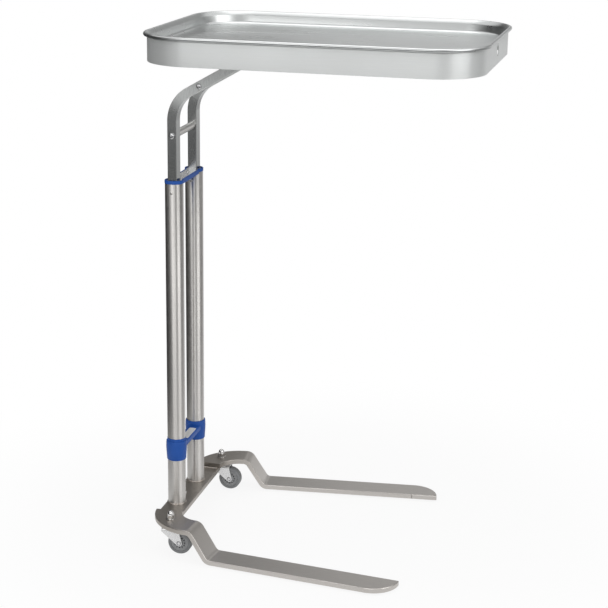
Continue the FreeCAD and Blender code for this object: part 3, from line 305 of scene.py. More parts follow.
class Finish:
    """A node tree, with the few textures that the stand's finishes share."""

    def __init__(self, name, home=None):
        self.holder = home or bpy.data.materials.new(name)
        self.holder.use_nodes = True
        self.tree = self.holder.node_tree
        self.shader = self.tree.nodes.get("Principled BSDF")

    def node(self, kind, settings=None, sockets=None, output=0):
        """Add a node: its settings first, then the value or link of each socket."""
        node = self.tree.nodes.new(kind)
        for key, value in (settings or {}).items():
            setattr(node, key, value)
        for key, value in (sockets or {}).items():
            self.plug(node.inputs[key], value)
        return Wire(self, node.outputs[output])

    def plug(self, socket, value):
        """Link a wire to a socket, or set the socket to a plain value."""
        if isinstance(value, Wire):
            self.tree.links.new(value.socket, socket)
        elif socket.type == "RGBA" and len(value) == 3:
            socket.default_value = (*value, 1.0)
        else:
            socket.default_value = value

    def set(self, **sockets):
        """Plug values into the Principled shader; base_color stands for Base Color."""
        for key, value in sockets.items():
            name = "Specular IOR Level" if key == "specular" else key.replace("_", " ").title()
            self.plug(self.shader.inputs[name], value)

    def place(self):
        return self.node("ShaderNodeTexCoord", output="Object")

    def stretched(self, scale, turn=(0, 0, 0)):
        """Object coordinates turned, then scaled unevenly, for grain that runs one way."""
        size = 1 / np.array(scale, float)
        sockets = {"Vector": self.place(), "Rotation": np.radians(turn), "Scale": size}
        return self.node("ShaderNodeMapping", {"vector_type": "TEXTURE"}, sockets)

    def noise(self, vector, scale=1.0, detail=3.0, roughness=0.5):
        sockets = {"Vector": vector, "Scale": scale, "Detail": detail, "Roughness": roughness}
        return self.node("ShaderNodeTexNoise", None, sockets)

    def grain(self, density):
        """Fine lines that run one way; density is in lines a metre along each axis."""
        return self.noise(self.stretched(density), detail=2.0, roughness=0.6)

    def patches(self, scale, detail=3.0):
        """Soft uneven patches; scale is how many there are to a metre."""
        return self.noise(self.place(), scale, detail)

    def spread(self, wire, low, high, start=0.3, end=0.7, ease="LINEAR"):
        """Map start..end of a wire onto low..high."""
        sockets = {"Value": wire, "From Min": start, "From Max": end, "To Min": low, "To Max": high}
        return self.node("ShaderNodeMapRange", {"interpolation_type": ease}, sockets)

    def blend(self, share, first, second):
        """One colour shading into another by share."""
        sockets = {0: share, 6: first, 7: second}
        return self.node("ShaderNodeMix", {"data_type": "RGBA"}, sockets, output=2)

    def varied(self, wire, colour, contrast):
        """A colour that a wire makes darker or lighter, by up to a share of itself."""
        share = self.spread(wire, 0.0, 1.0)
        return self.blend(share, shade(colour, -contrast), shade(colour, contrast))

    def coordinate(self, axis):
        """The X, Y or Z of a point of the piece, in metres."""
        return self.node("ShaderNodeSeparateXYZ", None, {0: self.place()}, output=axis)

    def glow(self, strength=1.0):
        """White light."""
        return self.node("ShaderNodeEmission", None, {"Color": WHITE, "Strength": strength})

    def surface(self, wire):
        """Show this shader in place of the Principled one."""
        self.plug(self.tree.nodes["Material Output"].inputs["Surface"], wire)

    def done(self, colour, roughness, wire, strength, depth, **others):
        """Plug in the colour, the roughness and a bump, and give the material."""
        sockets = {"Height": wire, "Strength": strength, "Distance": depth}
        self.set(base_color=colour, roughness=roughness, normal=self.node("ShaderNodeBump", None, sockets))
        self.set(**others)
        return self.holder


def shade(colour, share):
    """A colour made lighter or darker by a share of itself."""
    return tuple(min(1.0, c * (1 + share)) for c in colour)


WHITE = (1.0, 1.0, 1.0)
CLOUDS = 9.0
LINE_DEPTH = 0.02 * MM
WIDE_GRAIN = 0.12
# Brown heat tint with painted shade on the base beside the posts: its colour factor, then where it is full
# and where gone
HEAT_TINT_AND_SHADE = (0.68, 0.66, 0.63)
HEAT_AND_SHADE_REACH = (30 * MM, 130 * MM)
BEAD_TINT = (0.85, 0.78, 0.70)
# Where the bars' painted highlight and extra roughness start and end, along height plus a share of x
LEAN_START, LEAN_END, LEAN_FORWARD = 0.758, 0.812, 0.7


def brushed(name, colour, grain, roughness, depth=0.2, contrast=0.08, metallic=1.0, upward=False):
    """Brushed stainless steel; grain holds the texture's density along each axis, in lines a metre.

    Where upward is set, the metal spreads what it mirrors up and down.
    """
    finish = Finish(name)
    lines = finish.grain(grain)
    wide = finish.noise(finish.stretched(np.array(grain) * WIDE_GRAIN), detail=1.0)
    clouds = finish.patches(CLOUDS)
    streaks = finish.varied(lines * 0.6 + wide * 0.4, colour, contrast)
    colour_map = finish.blend(finish.spread(clouds, 0.0, 0.45), streaks, shade(colour, -0.07))
    rough_map = finish.spread(wide, roughness - 0.03, roughness + 0.03) + clouds * 0.06 - 0.03
    if upward:
        finish.set(anisotropic=0.88, anisotropic_rotation=0.25)
    return finish.done(colour_map, rough_map, lines, depth, LINE_DEPTH, metallic=metallic)


def leg_brushed(name, colour):
    """The base's steel: grain along the legs, and a brown heat tint with painted shade that fades out from
    the posts.
    """
    finish = Finish(name)
    lines = finish.grain((60, 2200, 1800))
    clouds = finish.patches(CLOUDS)
    full, gone = (POST_X + reach for reach in HEAT_AND_SHADE_REACH)
    # Brown heat tint with painted shade: full next to the posts, gone further out
    heat = finish.spread(finish.coordinate("X") + clouds * 0.03, 1.0, 0.0, full, gone, "SMOOTHSTEP")
    tinted_and_shaded = finish.blend(heat, finish.varied(lines, colour, 0.08), tuple(np.array(colour) * HEAT_TINT_AND_SHADE))
    rough_map = clouds * 0.08 + heat * 0.05 + 0.31
    return finish.done(tinted_and_shaded, rough_map, lines, 0.15, LINE_DEPTH, metallic=1.0)


def bar_brushed(name, colour):
    """Bars' steel, tight grain: painted shade on the uprights, a painted highlight and more roughness where
    they lean.
    """
    finish = Finish(name)
    lines = finish.grain((2600, 2600, 160))
    clouds = finish.patches(14.0)
    way = finish.coordinate("Z") + (finish.coordinate("X") - POST_X) * LEAN_FORWARD
    lean = finish.spread(way, 0.0, 1.0, LEAN_START, LEAN_END, "SMOOTHSTEP")
    # Painted shade darkens the uprights, a painted highlight lightens the bars where they lean forward
    steel = finish.blend(lean, shade(colour, -0.1), shade(colour, 0.62))
    streaks = finish.blend(finish.spread(lines, 0.0, 0.5), steel, shade(colour, -0.2))
    rough_map = lean * 0.4 + clouds * 0.08 + 0.18
    return finish.done(streaks, rough_map, lines, 0.2, LINE_DEPTH, metallic=1.0)


def polished(name, colour, roughness=0.08, metallic=1.0):
    """Bright plated metal with a little haze and fine scratches."""
    finish = Finish(name)
    haze = finish.patches(260.0, 2.0)
    scratches = finish.noise(finish.stretched((4000, 300, 900), (20, 35, 10)), detail=1.0)
    colour_map = finish.blend(finish.spread(haze, 0.0, 0.5), colour, shade(colour, -0.07))
    rough_map = finish.spread(haze, roughness, roughness + 0.1)
    return finish.done(colour_map, rough_map, scratches, 0.02, LINE_DEPTH / 2, metallic=metallic)


def moulded(name, colour, roughness=0.42):
    """Moulded plastic: a fine spark-eroded grain and faint flow marks."""
    finish = Finish(name)
    fine = finish.patches(900.0, 2.0)
    flow = finish.patches(30.0, 2.0)
    rough_map = finish.spread(fine, roughness - 0.05, roughness + 0.07)
    colour_map = finish.varied(flow, colour, 0.06)
    return finish.done(colour_map, rough_map, fine, 0.12, 2 * LINE_DEPTH, specular=0.35)


def bead_steel(name, colour):
    """Weld metal: dull, with heat tint in small patches."""
    finish = Finish(name)
    tint = finish.patches(320.0)
    browned = tuple(np.array(colour) * BEAD_TINT)
    colour_map = finish.blend(finish.spread(tint, 0.0, 1.0), colour, browned)
    rough_map = finish.spread(tint, 0.24, 0.4)
    return finish.done(colour_map, rough_map, tint, 0.3, 5 * LINE_DEPTH, metallic=1.0)


# Sizes, taken from the frame's boxes where a box gives them


def middle(node):
    """The centre of a node's box."""
    low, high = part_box(node)
    return (low + high) / 2


def extent(node):
    """How large a node's box is along each axis."""
    low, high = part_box(node)
    return high - low


POST_X, POST_Y = middle("far_post").x, middle("far_post").y
TUBE_FOOT, TUBE_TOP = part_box("far_post")[0].z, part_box("far_post")[1].z
TUBE_RADIUS = extent("far_post").x / 2
TUBE_WALL = 1.5 * MM
RIM_LOW, RIM_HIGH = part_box("instrument_tray")
RIM_CORNER = 90 * MM
TRAY_FLOOR_EDGE = 17.6 * MM
TRAY_FLOOR_RADIUS = 6 * MM
TRAY_WALL_SLOPE = 13.0
BEAD_RADIUS = 3.2 * MM
SHEET = 1.2 * MM
BAND_LOW, BAND_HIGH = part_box("tray_band")
BAND_CORNER = 84 * MM
BAND_SHEET = 1.5 * MM
FINGER_HOLE = (BAND_HIGH.x - BAND_SHEET / 2, 0.0, RIM_HIGH.z - 23 * MM)
FINGER_HOLE_RADIUS = 11 * MM
LEG_WIDTH = 48 * MM
LEG_THICK = 9 * MM
LEG_TURN = np.array([POST_X + 67 * MM, 110.5 * MM])
LEG_TURN_RADIUS = 61 * MM
LEG_SPLAY = math.radians(6.2)
LEG_TRIM = math.radians(5)
LEG_LENGTH = 374.5 * MM
LEG_STEP_AT = 2.5 * MM
LEG_STEP_ANGLE = math.radians(57)
LEG_BEND_RADIUS = 13 * MM
LEG_EDGE = 1.5 * MM
PLATE_MID = TUBE_FOOT + LEG_THICK / 2
RUNNER_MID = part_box("far_leg")[0].z + LEG_THICK / 2
BAR_HALF_X = 8 * MM
BAR_HALF_Y = 11 * MM
BAR_EDGE = 1.2 * MM
BAR_BEND_Z = RIM_HIGH.z - 159 * MM
BAR_BEND_RADIUS = 58 * MM
BAR_BEND_STEPS = 25
BAR_SLOPE = math.radians(30)
BAR_GAP = 0.35 * MM
STEM_X, STEM_Y = middle("far_caster_stem").x, middle("far_caster_stem").y
WHEEL_X, WHEEL_RADIUS = middle("far_caster_tyre").x, middle("far_caster_tyre").z
WHEEL_WIDTH = extent("far_caster_tyre").y
FORK_SHEET = 1.8 * MM
FORK_FRONT = STEM_X + 18.5 * MM
AXLE_HEAD = 1.2 * MM
YOKE_LOW, YOKE_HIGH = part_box("foot_yoke")


def at_post(side, z=0.0):
    """The point at this height on a post's axis; side is -1 for the near post and 1 for the far one."""
    return np.array([POST_X, POST_Y * side, z])


def at_stem(side, z=0.0):
    """The point at this height on a caster's stem."""
    return np.array([STEM_X, STEM_Y * side, z])


def at_wheel(side):
    """The middle of a wheel."""
    return np.array([WHEEL_X, STEM_Y * side, WHEEL_RADIUS])


# Tray and band


def rounded_rectangle(half_x, half_y, radius, steps=20, straight=8):
    """Round corners c + r (cos a, sin a), with the straight sides divided evenly between them."""
    signs = np.array([(1, 1), (-1, 1), (-1, -1), (1, -1)])
    a = sweep(0, 90, steps) + math.pi / 2 * np.arange(4)[:, None]
    bend = grid(np.cos(a), np.sin(a))
    corner = signs[:, None] * (np.array([half_x, half_y]) - radius) + radius * bend
    t = np.linspace(0, 1, straight + 1)[1:-1][None, :, None]
    side = corner[:, -1:] * (1 - t) + np.roll(corner, -1, 0)[:, :1] * t
    return np.concatenate([corner, side], 1).reshape(-1, 2)


def ringed(name, half_x, half_y, radius, section, ring=False, crease=35.0, centre=(0, 0)):
    """A section carried round a rectangle: P(k, i) = rectangle set in by inset_k, at height z_k."""
    rings = [rounded_rectangle(half_x - inset, half_y - inset, radius - inset) for inset, _ in section]
    x, y = np.moveaxis(np.array(rings) + np.asarray(centre), -1, 0)
    return skin(name, grid(x, y, np.asarray(section)[:, 1:]), round_rows=ring, crease=crease)


def swoop(first, lead, trail, last, steps):
    """A cubic curve from first to last, pulled towards lead and trail; its first point left out."""
    t = np.linspace(0, 1, steps + 1)[1:, None]
    pulls = [np.asarray(p, float) for p in (first, lead, trail, last)]
    weights = [(1 - t) ** 3, 3 * t * (1 - t) ** 2, 3 * t * t * (1 - t), t**3]
    return sum(weight * pull for weight, pull in zip(weights, pulls))


def make_tray():
    """Drawn tray: one section (inset, z) from under the floor, up the wall, round the rim and back."""
    floor, top = RIM_LOW.z + SHEET, RIM_HIGH.z
    slope = math.radians(TRAY_WALL_SLOPE)
    centre = np.array([TRAY_FLOOR_EDGE, floor + TRAY_FLOOR_RADIUS])
    along = np.array([-math.sin(slope), math.cos(slope)])
    away = np.array([-math.cos(slope), -math.sin(slope)])
    wall_top = top - 7.5 * MM
    outer = TRAY_FLOOR_RADIUS + SHEET
    feet = centre + away * np.array([[outer], [TRAY_FLOOR_RADIUS]])
    outside, inside = feet + along * (wall_top - feet[:, 1:]) / along[1]
    bead = arc((BEAD_RADIUS, top - BEAD_RADIUS), BEAD_RADIUS, -60, -310, 26)
    first, last = bead[0], bead[-1]
    section = chain(
        [(TRAY_FLOOR_EDGE + 40 * MM, RIM_LOW.z), (TRAY_FLOOR_EDGE + 1 * MM, RIM_LOW.z)],
        arc(centre, outer, 270, 180 + TRAY_WALL_SLOPE, 8),
        [outside],
        swoop(outside, outside + (-0.3 * MM, 1.2 * MM), first + (1.2 * MM, -0.4 * MM), first, 5),
        bead[1:],
        swoop(last, last + (0.9 * MM, -1.0 * MM), inside + (-0.35 * MM, 1.4 * MM), inside, 5),
        arc(centre, TRAY_FLOOR_RADIUS, 180 + TRAY_WALL_SLOPE, 270, 9),
        [(TRAY_FLOOR_EDGE + 1 * MM, floor), (TRAY_FLOOR_EDGE + 40 * MM, floor)],
    )
    return ringed("tray", RIM_HIGH.x, RIM_HIGH.y, RIM_CORNER, section, crease=50)


def make_band():
    """Band round the tray: a flat section with eased edges, less a round finger hole at the front."""
    edge = 0.5 * MM
    section = eased(rectangle((0, BAND_LOW.z), (BAND_SHEET, BAND_HIGH.z)), edge, 3)
    band = ringed("band", BAND_HIGH.x, BAND_HIGH.y, BAND_CORNER, section, ring=True)
    profile = [(FINGER_HOLE_RADIUS, -4 * MM), (FINGER_HOLE_RADIUS, 4 * MM)]
    return shaped(band, "DIFFERENCE", turned("hole", profile, FINGER_HOLE, axis="x"), crease=40)


# Posts and lifting bars


def make_post(name, side):
    """Round tube: outside, eased mouth and bore as one closed profile turned about the post."""
    inner, edge = TUBE_RADIUS - TUBE_WALL, 0.4 * MM
    profile = [(TUBE_RADIUS, TUBE_FOOT), (TUBE_RADIUS, TUBE_TOP - edge), (TUBE_RADIUS - edge, TUBE_TOP)]
    profile += [(inner + edge, TUBE_TOP), (inner, TUBE_TOP - edge), (inner, TUBE_FOOT)]
    return turned(name + "_tube", profile, at_post(side), around=96, crease=50, ring=True)


def bar_line():
    """A bar's centreline from the side (x, z) and its lean a: upright, arc, slope, arc, level run.

    First arc (bend_x + r (1 - cos t), bend_z + r sin t); second arc the same, turned over.
    """
    foot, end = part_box("far_mast_bar")
    run = end.z - BAR_HALF_X
    t = np.linspace(0, math.pi / 2 - BAR_SLOPE, BAR_BEND_STEPS)
    bend_x = POST_X + BAR_BEND_RADIUS * (1 - np.cos(t))
    bend_z = BAR_BEND_Z + BAR_BEND_RADIUS * np.sin(t)
    rise = run - BAR_BEND_RADIUS * (1 - math.cos(BAR_SLOPE)) - bend_z[-1]
    level_x = bend_x[-1] + rise / math.tan(BAR_SLOPE) + BAR_BEND_RADIUS * math.sin(BAR_SLOPE)
    a = np.linspace(BAR_SLOPE, 0, 12)
    flat_x = level_x - BAR_BEND_RADIUS * np.sin(a)
    flat_z = run - BAR_BEND_RADIUS * (1 - np.cos(a))
    upright = [(POST_X, z, math.pi / 2) for z in (foot.z, BAR_BEND_Z - 30 * MM)]
    bend = grid(bend_x, bend_z, math.pi / 2 - t)
    flat = grid(flat_x, flat_z, a)
    return chain(upright, bend, flat, [(end.x, run, 0)])


def slope_place(along):
    """A point on the bars' straight slope, this far up it."""
    x, z = bar_line()[1 + BAR_BEND_STEPS, :2]
    return x + along * math.cos(BAR_SLOPE), z + along * math.sin(BAR_SLOPE)


ROD_PLACES = {
    "lower": (POST_X, BAR_BEND_Z - 25 * MM),
    "middle": slope_place(22.3 * MM),
    "upper": slope_place(95.8 * MM),
}


def make_bar(name, side):
    """A rounded rectangle carried along the bar's line, with a shallow seat round each screw head."""
    x, z, a = bar_line().T
    y = POST_Y * side
    path = grid(x, y, z)
    across = grid(-np.sin(a), 0, np.cos(a))
    above = np.broadcast_to([0.0, 1.0, 0.0], path.shape)
    half = np.array([BAR_HALF_X, BAR_HALF_Y])
    bar = carried(name + "_bar", eased(rectangle(-half, half), BAR_EDGE, 4), path, across, above, crease=40)
    face = y + BAR_HALF_Y * side
    seat = np.array([(3.4, -1.1), (5.5, -0.9), (5.8, 0.4), (3.4, 0.5)]) * MM
    seat[:, 1] *= side
    seats = [turned("seat", seat, (sx, face, sz), axis="y", around=40) for sx, sz in ROD_PLACES.values()]
    return levelled(shaped(bar, "DIFFERENCE", *seats, crease=40))


def make_rod(name):
    """Spacer rod with eased ends."""
    x, z = ROD_PLACES[name]
    half, radius, edge = POST_Y - BAR_HALF_Y, 6.35 * MM, 0.5 * MM
    profile = [(radius - edge, -half), (radius, edge - half), (radius, half - edge), (radius - edge, half)]
    return turned(name + "_rod", profile, (x, 0, z), axis="y", around=48)


def make_spacer_screws():
    """Button heads on the bars' outer faces, each with a six-sided key hole."""
    head = [(0.6, -1.0), (4.6, -1.0), (4.6, 0.5), (4.3, 1.1), (3.6, 1.65), (2.6, 1.95), (1.2, 2.0)]
    key = eased(arc((0, 0), 1.5 * MM, 0, 300, 6), 0.1 * MM, 2)
    heads = []
    for x, z in ROD_PLACES.values():
        for side in BOTH:
            face = side * (POST_Y + BAR_HALF_Y)
            button = turned("head", np.array(head) * MM * (1, side), (x, face, z), axis="y", around=40)
            low, high = sorted((face + side * 0.9 * MM, face + side * 3 * MM))
            socket = plate("key", key + (x, z), low, high, plane="xz", edge=SHARP)
            heads.append(shaped(button, "DIFFERENCE", socket))
    return join("spacer_heads", *heads)


def make_guide_rivets():
    """Low domed rivet heads near the top of the tubes, on their near sides."""
    z = middle("guide_rivets").z
    shank = [(1.6, -2.4), (1.6, -0.6), (2.3, -0.6)]
    profile = chain(shank, dome(2.3, 0.1, 0.55, 84, 9)) * MM * (1, -1)
    places = [at_post(side, z) - (0, TUBE_RADIUS, 0) for side in BOTH]
    return join("rivet_heads", *(turned("rivet", profile, place, axis="y", around=32) for place in places))


# Base


def leg_stations():
    """The strip's stations, one row each.

    A row holds the place (3), the way across (2), the normal's x and z, low, high, thick, edges (2).
    Cut end, edgewise arc r (cos a, sin a), step down over two arcs of the bend radius, runner,
    and a tip swung round its inner corner.
    """
    half, r, b, s = LEG_WIDTH / 2, LEG_TURN_RADIUS, LEG_BEND_RADIUS, LEG_SPLAY

    def rows(u, v, z, across_u, across_v, normal_u=0, normal_z=1, low=-half, high=half,
             thick=LEG_THICK, low_edge=LEG_EDGE, high_edge=LEG_EDGE):
        return grid(u, v, z, across_u, across_v, normal_u, normal_z, low, high, thick, low_edge, high_edge)

    a = np.linspace(math.pi - s - LEG_TRIM, math.pi / 2, 29)
    edgewise = rows(r * np.cos(a), r * np.sin(a), PLATE_MID, np.cos(a), np.sin(a))
    a = np.linspace(0, LEG_STEP_ANGLE, 12)
    fall = b * (1 - np.cos(a))
    down = rows(LEG_STEP_AT + b * np.sin(a), r, PLATE_MID - fall, 0, 1, np.sin(a), np.cos(a))
    slanted = (PLATE_MID - RUNNER_MID - 2 * fall[-1]) / math.sin(LEG_STEP_ANGLE)
    foot = LEG_STEP_AT + slanted * math.cos(LEG_STEP_ANGLE) + 2 * b * math.sin(LEG_STEP_ANGLE)
    back = a[::-1]
    level = rows(foot - b * np.sin(back), r, RUNNER_MID + fall[::-1], 0, 1, np.sin(back), np.cos(back))
    tip_u, tip_v, reach = LEG_LENGTH - LEG_WIDTH, r - half + LEG_EDGE, LEG_WIDTH - LEG_EDGE
    runner = rows(np.linspace(foot + 10 * MM, tip_u - 1 * MM, 8), r, RUNNER_MID, 0, 1)
    a = np.linspace(math.pi / 2, 0, 31)
    tip = rows(tip_u, tip_v, RUNNER_MID, np.cos(a), np.sin(a), low=0, high=reach, low_edge=SHARP)
    a = np.linspace(0, math.pi / 2, 5)[1:]
    inset = LEG_EDGE * (1 - np.cos(a))
    closing = rows(tip_u, tip_v - LEG_EDGE * np.sin(a), RUNNER_MID, 1, 0, low=SHARP, high=reach - inset,
                   thick=LEG_THICK - 2 * inset, low_edge=SHARP, high_edge=LEG_EDGE * 0.8)
    return chain(edgewise, down, level, runner, tip, closing)


def make_leg(name, side):
    """The flat strip's section carried through its stations, then splayed and set in its place."""
    rows = leg_stations()
    across = grid(rows[:, 3], rows[:, 4], 0)
    above = grid(rows[:, 5], 0, rows[:, 6])
    section = flat_sections(*rows[:, 7:].T)
    c, s = math.cos(LEG_SPLAY), math.sin(LEG_SPLAY)
    turn = np.array([(c, s, 0), (-s, c, 0), (0, 0, 1)])
    mirror = np.array([1, side, 1])
    path = (rows[:, :3] @ turn + [*LEG_TURN, 0]) * mirror
    across, above = (way @ turn * mirror for way in (across, above))
    return levelled(carried(name + "_leg_strip", section, path, across, above, crease=30))


def make_crossbar():
    """Flat bar with eased corners and edges."""
    low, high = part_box("base_crossbar")
    outline = eased(rectangle(low[:2], high[:2]), 2 * MM, 4)
    return levelled(plate("crossbar", outline, low.z, high.z, edge=0.8 * MM))


def make_welds():
    """Fillets of weld: a quarter circle of radius q - ripple, round each tube and along each cut end."""
    cut = LEG_TURN[1] + (LEG_TURN_RADIUS - 20 * MM) * math.sin(LEG_TRIM)
    b = sweep(0, 90, 7)
    low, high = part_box("base_crossbar")

    def fillet(phase, root):
        """Points (out, z) across the bead where its ripple has this phase, and back to its root."""
        size = (1.8 - 0.12 * np.abs(np.sin(phase))) * MM
        out = np.append(size * np.cos(b), 0 * phase + root, 1)
        return out, TUBE_FOOT - 0.2 * MM + np.append(size * np.sin(b), 0 * phase, 1)

    beads = []
    for side in BOTH:
        a = full_turn(240)[:, None]
        out, z = fillet(a * 24, -1 * MM)
        reach = TUBE_RADIUS - 0.1 * MM + out
        ring = grid(POST_X + reach * np.cos(a), POST_Y * side + reach * np.sin(a), z)
        beads.append(skin("ring_bead", ring, round_rows=True, crease=60))
        x = np.linspace(low.x + 2 * MM, high.x - 2 * MM, 120)[:, None]
        out, z = fillet((x - low.x) / MM * 1.5, 0)
        beads.append(skin("cut_bead", grid(x, side * (cut - out), z), crease=60))
    return join("welds", *beads)


def make_stud():
    """Domed stud: r = R cos a, z = foot + h sin a."""
    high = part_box("centre_stud")[1]
    x, y, _ = middle("centre_stud")
    radius = high.x - x
    head = dome(radius, TUBE_FOOT, high.z - TUBE_FOOT, 85, 12)
    return turned("stud_dome", chain([(radius, TUBE_FOOT - 1 * MM)], head), (x, y, 0), around=40)


# Casters


def make_cap_nuts():
    """Cap nuts: P(k, a) at radius min(hexagon(a), limit_k), so the cone and dome trim the six flats."""
    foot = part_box("stem_cap_nuts")[0].z
    flat = 6.2 * MM
    a = full_turn(96)
    hexagon = flat / np.cos(np.mod(a, math.pi / 3) - math.pi / 6)
    cone = [(6.3, 0), (7.16, 0.5), (7.16, 5.7), (6.7, 6.2), (6.0, 6.5), (5.75, 6.6)]
    limits = chain(cone, dome(5.7, 7.1, 6.5, 86, 12)) * MM
    radius = np.minimum(hexagon, limits[:, :1])
    points = grid(radius * np.cos(a), radius * np.sin(a), limits[:, 1:])
    return join("cap_nuts", *(skin("nut", points + at_stem(side, foot), crease=28) for side in BOTH))


def make_washers():
    """Flat washers with eased rims."""
    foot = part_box("stem_washers")[0].z
    profile = eased(rectangle((4.2 * MM, foot), (8 * MM, foot + 1.6 * MM)), 0.4 * MM, 2)
    rings = [turned("washer", profile, at_stem(side), around=48, ring=True) for side in BOTH]
    return join("washers", *rings)


def make_tyre(name, side):
    """Tread with rounded shoulders: quarter circles of 3 mm between the side walls and a slight crown."""
    half, radius, inner, shoulder = WHEEL_WIDTH / 2, WHEEL_RADIUS, WHEEL_RADIUS - 5.5 * MM, 3 * MM
    wall = [(inner, half - 1 * MM), (inner + 0.6 * MM, half - 0.15 * MM), (inner + 1.4 * MM, half)]
    round_off = arc((radius - shoulder, half - shoulder), shoulder, 90, 8, 9)
    quarter = chain(wall, round_off, [(radius, 2 * MM)])
    profile = chain(quarter, quarter[::-1] * (1, -1))
    return turned(name + "_tyre", profile, at_wheel(side), axis="y", around=96, ring=True)


def make_hub(name, side):
    """Web disc with a raised lip and a boss, drilled with a ring of twelve small holes."""
    boss = [(3.3, 8.6), (5.4, 8.6), (6.0, 8.0), (6.2, 6.9), (7.0, 6.3)]
    web = [(12.0, 6.3), (12.6, 6.7), (13.0, 6.8), (15.3, 6.8), (15.5, 6.6)]
    disc = np.array(boss + web) * MM
    profile = chain(disc, disc[::-1] * (1, -1))
    hub = turned(name + "_hub", profile, at_wheel(side), axis="y", around=96, ring=True)
    a = full_turn(12)
    ring = at_wheel(side) + 9.4 * MM * grid(np.cos(a), 0, np.sin(a))
    drill = [(1.4 * MM, -12 * MM), (1.4 * MM, 12 * MM)]
    drills = [turned("drill", drill, centre, axis="y", around=20) for centre in ring]
    return shaped(hub, "DIFFERENCE", join("drills", *drills))


def fork_sheet():
    """Middle of the fork's pressed sheet from side to side: y, z, its outward normal, back and front.

    Up one cheek, over a bend of radius b, across the crown, and down the other cheek.  Below the
    crown's skirt the edges lean in to a round end of radius r about the axle.
    """
    low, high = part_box("far_caster_fork")
    b, r, axle = 3.4 * MM, 5.4 * MM, WHEEL_RADIUS
    y_mid = extent("far_caster_axle").y / 2 - AXLE_HEAD - FORK_SHEET / 2
    crown = high.z - 1 * MM - FORK_SHEET / 2
    cheek = chain(axle + r * np.sin(sweep(-88, 0, 12)), np.linspace(axle, crown - b, 14)[1:])
    t = sweep(0, 90, 8)[1:]
    y = chain(0 * cheek + y_mid, y_mid - b * (1 - np.cos(t)))
    z = chain(cheek, crown - b + b * np.sin(t))
    normal = [chain(0 * cheek + 1, np.cos(t)), chain(0 * cheek, np.sin(t))]
    skirt = crown + FORK_SHEET / 2 - 6 * MM
    (back_x, back_z), (front_x, front_z) = arc((WHEEL_X, axle), r, 217, 12, 2)
    circle = np.sqrt(np.maximum(r * r - (z - axle) ** 2, 0))
    back = np.interp(z, (back_z, skirt), (back_x, low.x))
    front = np.interp(z, (front_z, skirt), (front_x, FORK_FRONT))
    back = np.where(z < back_z, WHEEL_X - circle, back)
    front = np.where(z < front_z, WHEEL_X + circle, front)
    rows = grid(y, z, *normal, back, front)
    return chain(rows, rows[::-1] * (-1, 1, -1, 1, 1, 1))


def make_fork(name, side):
    """Pressed fork with a raised race cup on its crown.

    Sheet P(k, t) = (back_k + t (front_k - back_k), y_k, z_k), with half its thickness on each side.
    """
    y, z, normal_y, normal_z, back, front = fork_sheet().T[:, :, None]
    x = back + np.linspace(0, 1, 9) * (front - back)
    sheet = grid(x, y, z)
    lift = grid(0, normal_y, normal_z) * FORK_SHEET / 2
    points = np.concatenate([sheet + lift, (sheet - lift)[:, ::-1]], 1) + [0, STEM_Y * side, 0]
    fork = skin(name + "_fork", points, crease=32)
    edge = fork.modifiers.new("edge", "BEVEL")
    edge.width = 0.35 * MM
    edge.segments = 2
    edge.angle_limit = math.radians(45)
    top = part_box("far_caster_fork")[1].z
    cup = eased(rectangle((7.4 * MM, top - 1.6 * MM), (12.6 * MM, top)), 0.35 * MM, 2)
    ring = turned(name + "_cup", cup, at_stem(side), around=56, ring=True)
    return join(name + "_fork", fork, ring)


def make_axle(name, side):
    """Rivet through the fork: a pin between two low domed heads, each with a hollow."""
    half = extent("far_caster_axle").y / 2
    foot = half - AXLE_HEAD
    head = dome(1.8 * MM, foot, AXLE_HEAD, 80, 7) + (2.6 * MM, 0)
    hollow = np.array([(2.5, -0.3), (2.2, -1.9), (0.7, -2.1)]) * MM + (0, half)
    end = chain([(3.2 * MM, foot)], head, hollow)
    profile = chain(end[::-1] * (1, -1), end)
    return turned(name + "_axle", profile, at_wheel(side), axis="y", around=40)


# Release


def make_spring(name):
    """Coil of wire: P(s) = centre + R (cos a, sin a), with a in proportion to s.

    Its height grows as s - 0.8 sin(2 pi s) / (2 pi), so that the end turns lie close.
    """
    low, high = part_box(name + "_return_spring")
    wire, turns = 0.5 * MM, 9
    radius = (high.x - low.x) / 2 - wire
    s = np.linspace(0, 1, turns * 36 + 1)
    a = 2 * math.pi * turns * s
    share = s - 0.8 * np.sin(2 * math.pi * s) / (2 * math.pi)
    z = low.z + wire + (high.z - low.z - 2 * wire) * share
    x, y, _ = (low + high) / 2
    path = grid(x + radius * np.cos(a), y + radius * np.sin(a), z)
    across = grid(np.cos(a), np.sin(a), 0)
    above = np.cross(unit(np.gradient(path, axis=0)), across)
    return carried(name + "_coil", arc((0, 0), wire, 0, 330, 12), path, across, above, crease=60)


# Blue mouldings


def post_cutters(radius, low, high):
    """A round block on each post's axis, from low to high."""
    return [turned("cutter", [(radius, low), (radius, high)], at_post(s), around=96) for s in BOTH]


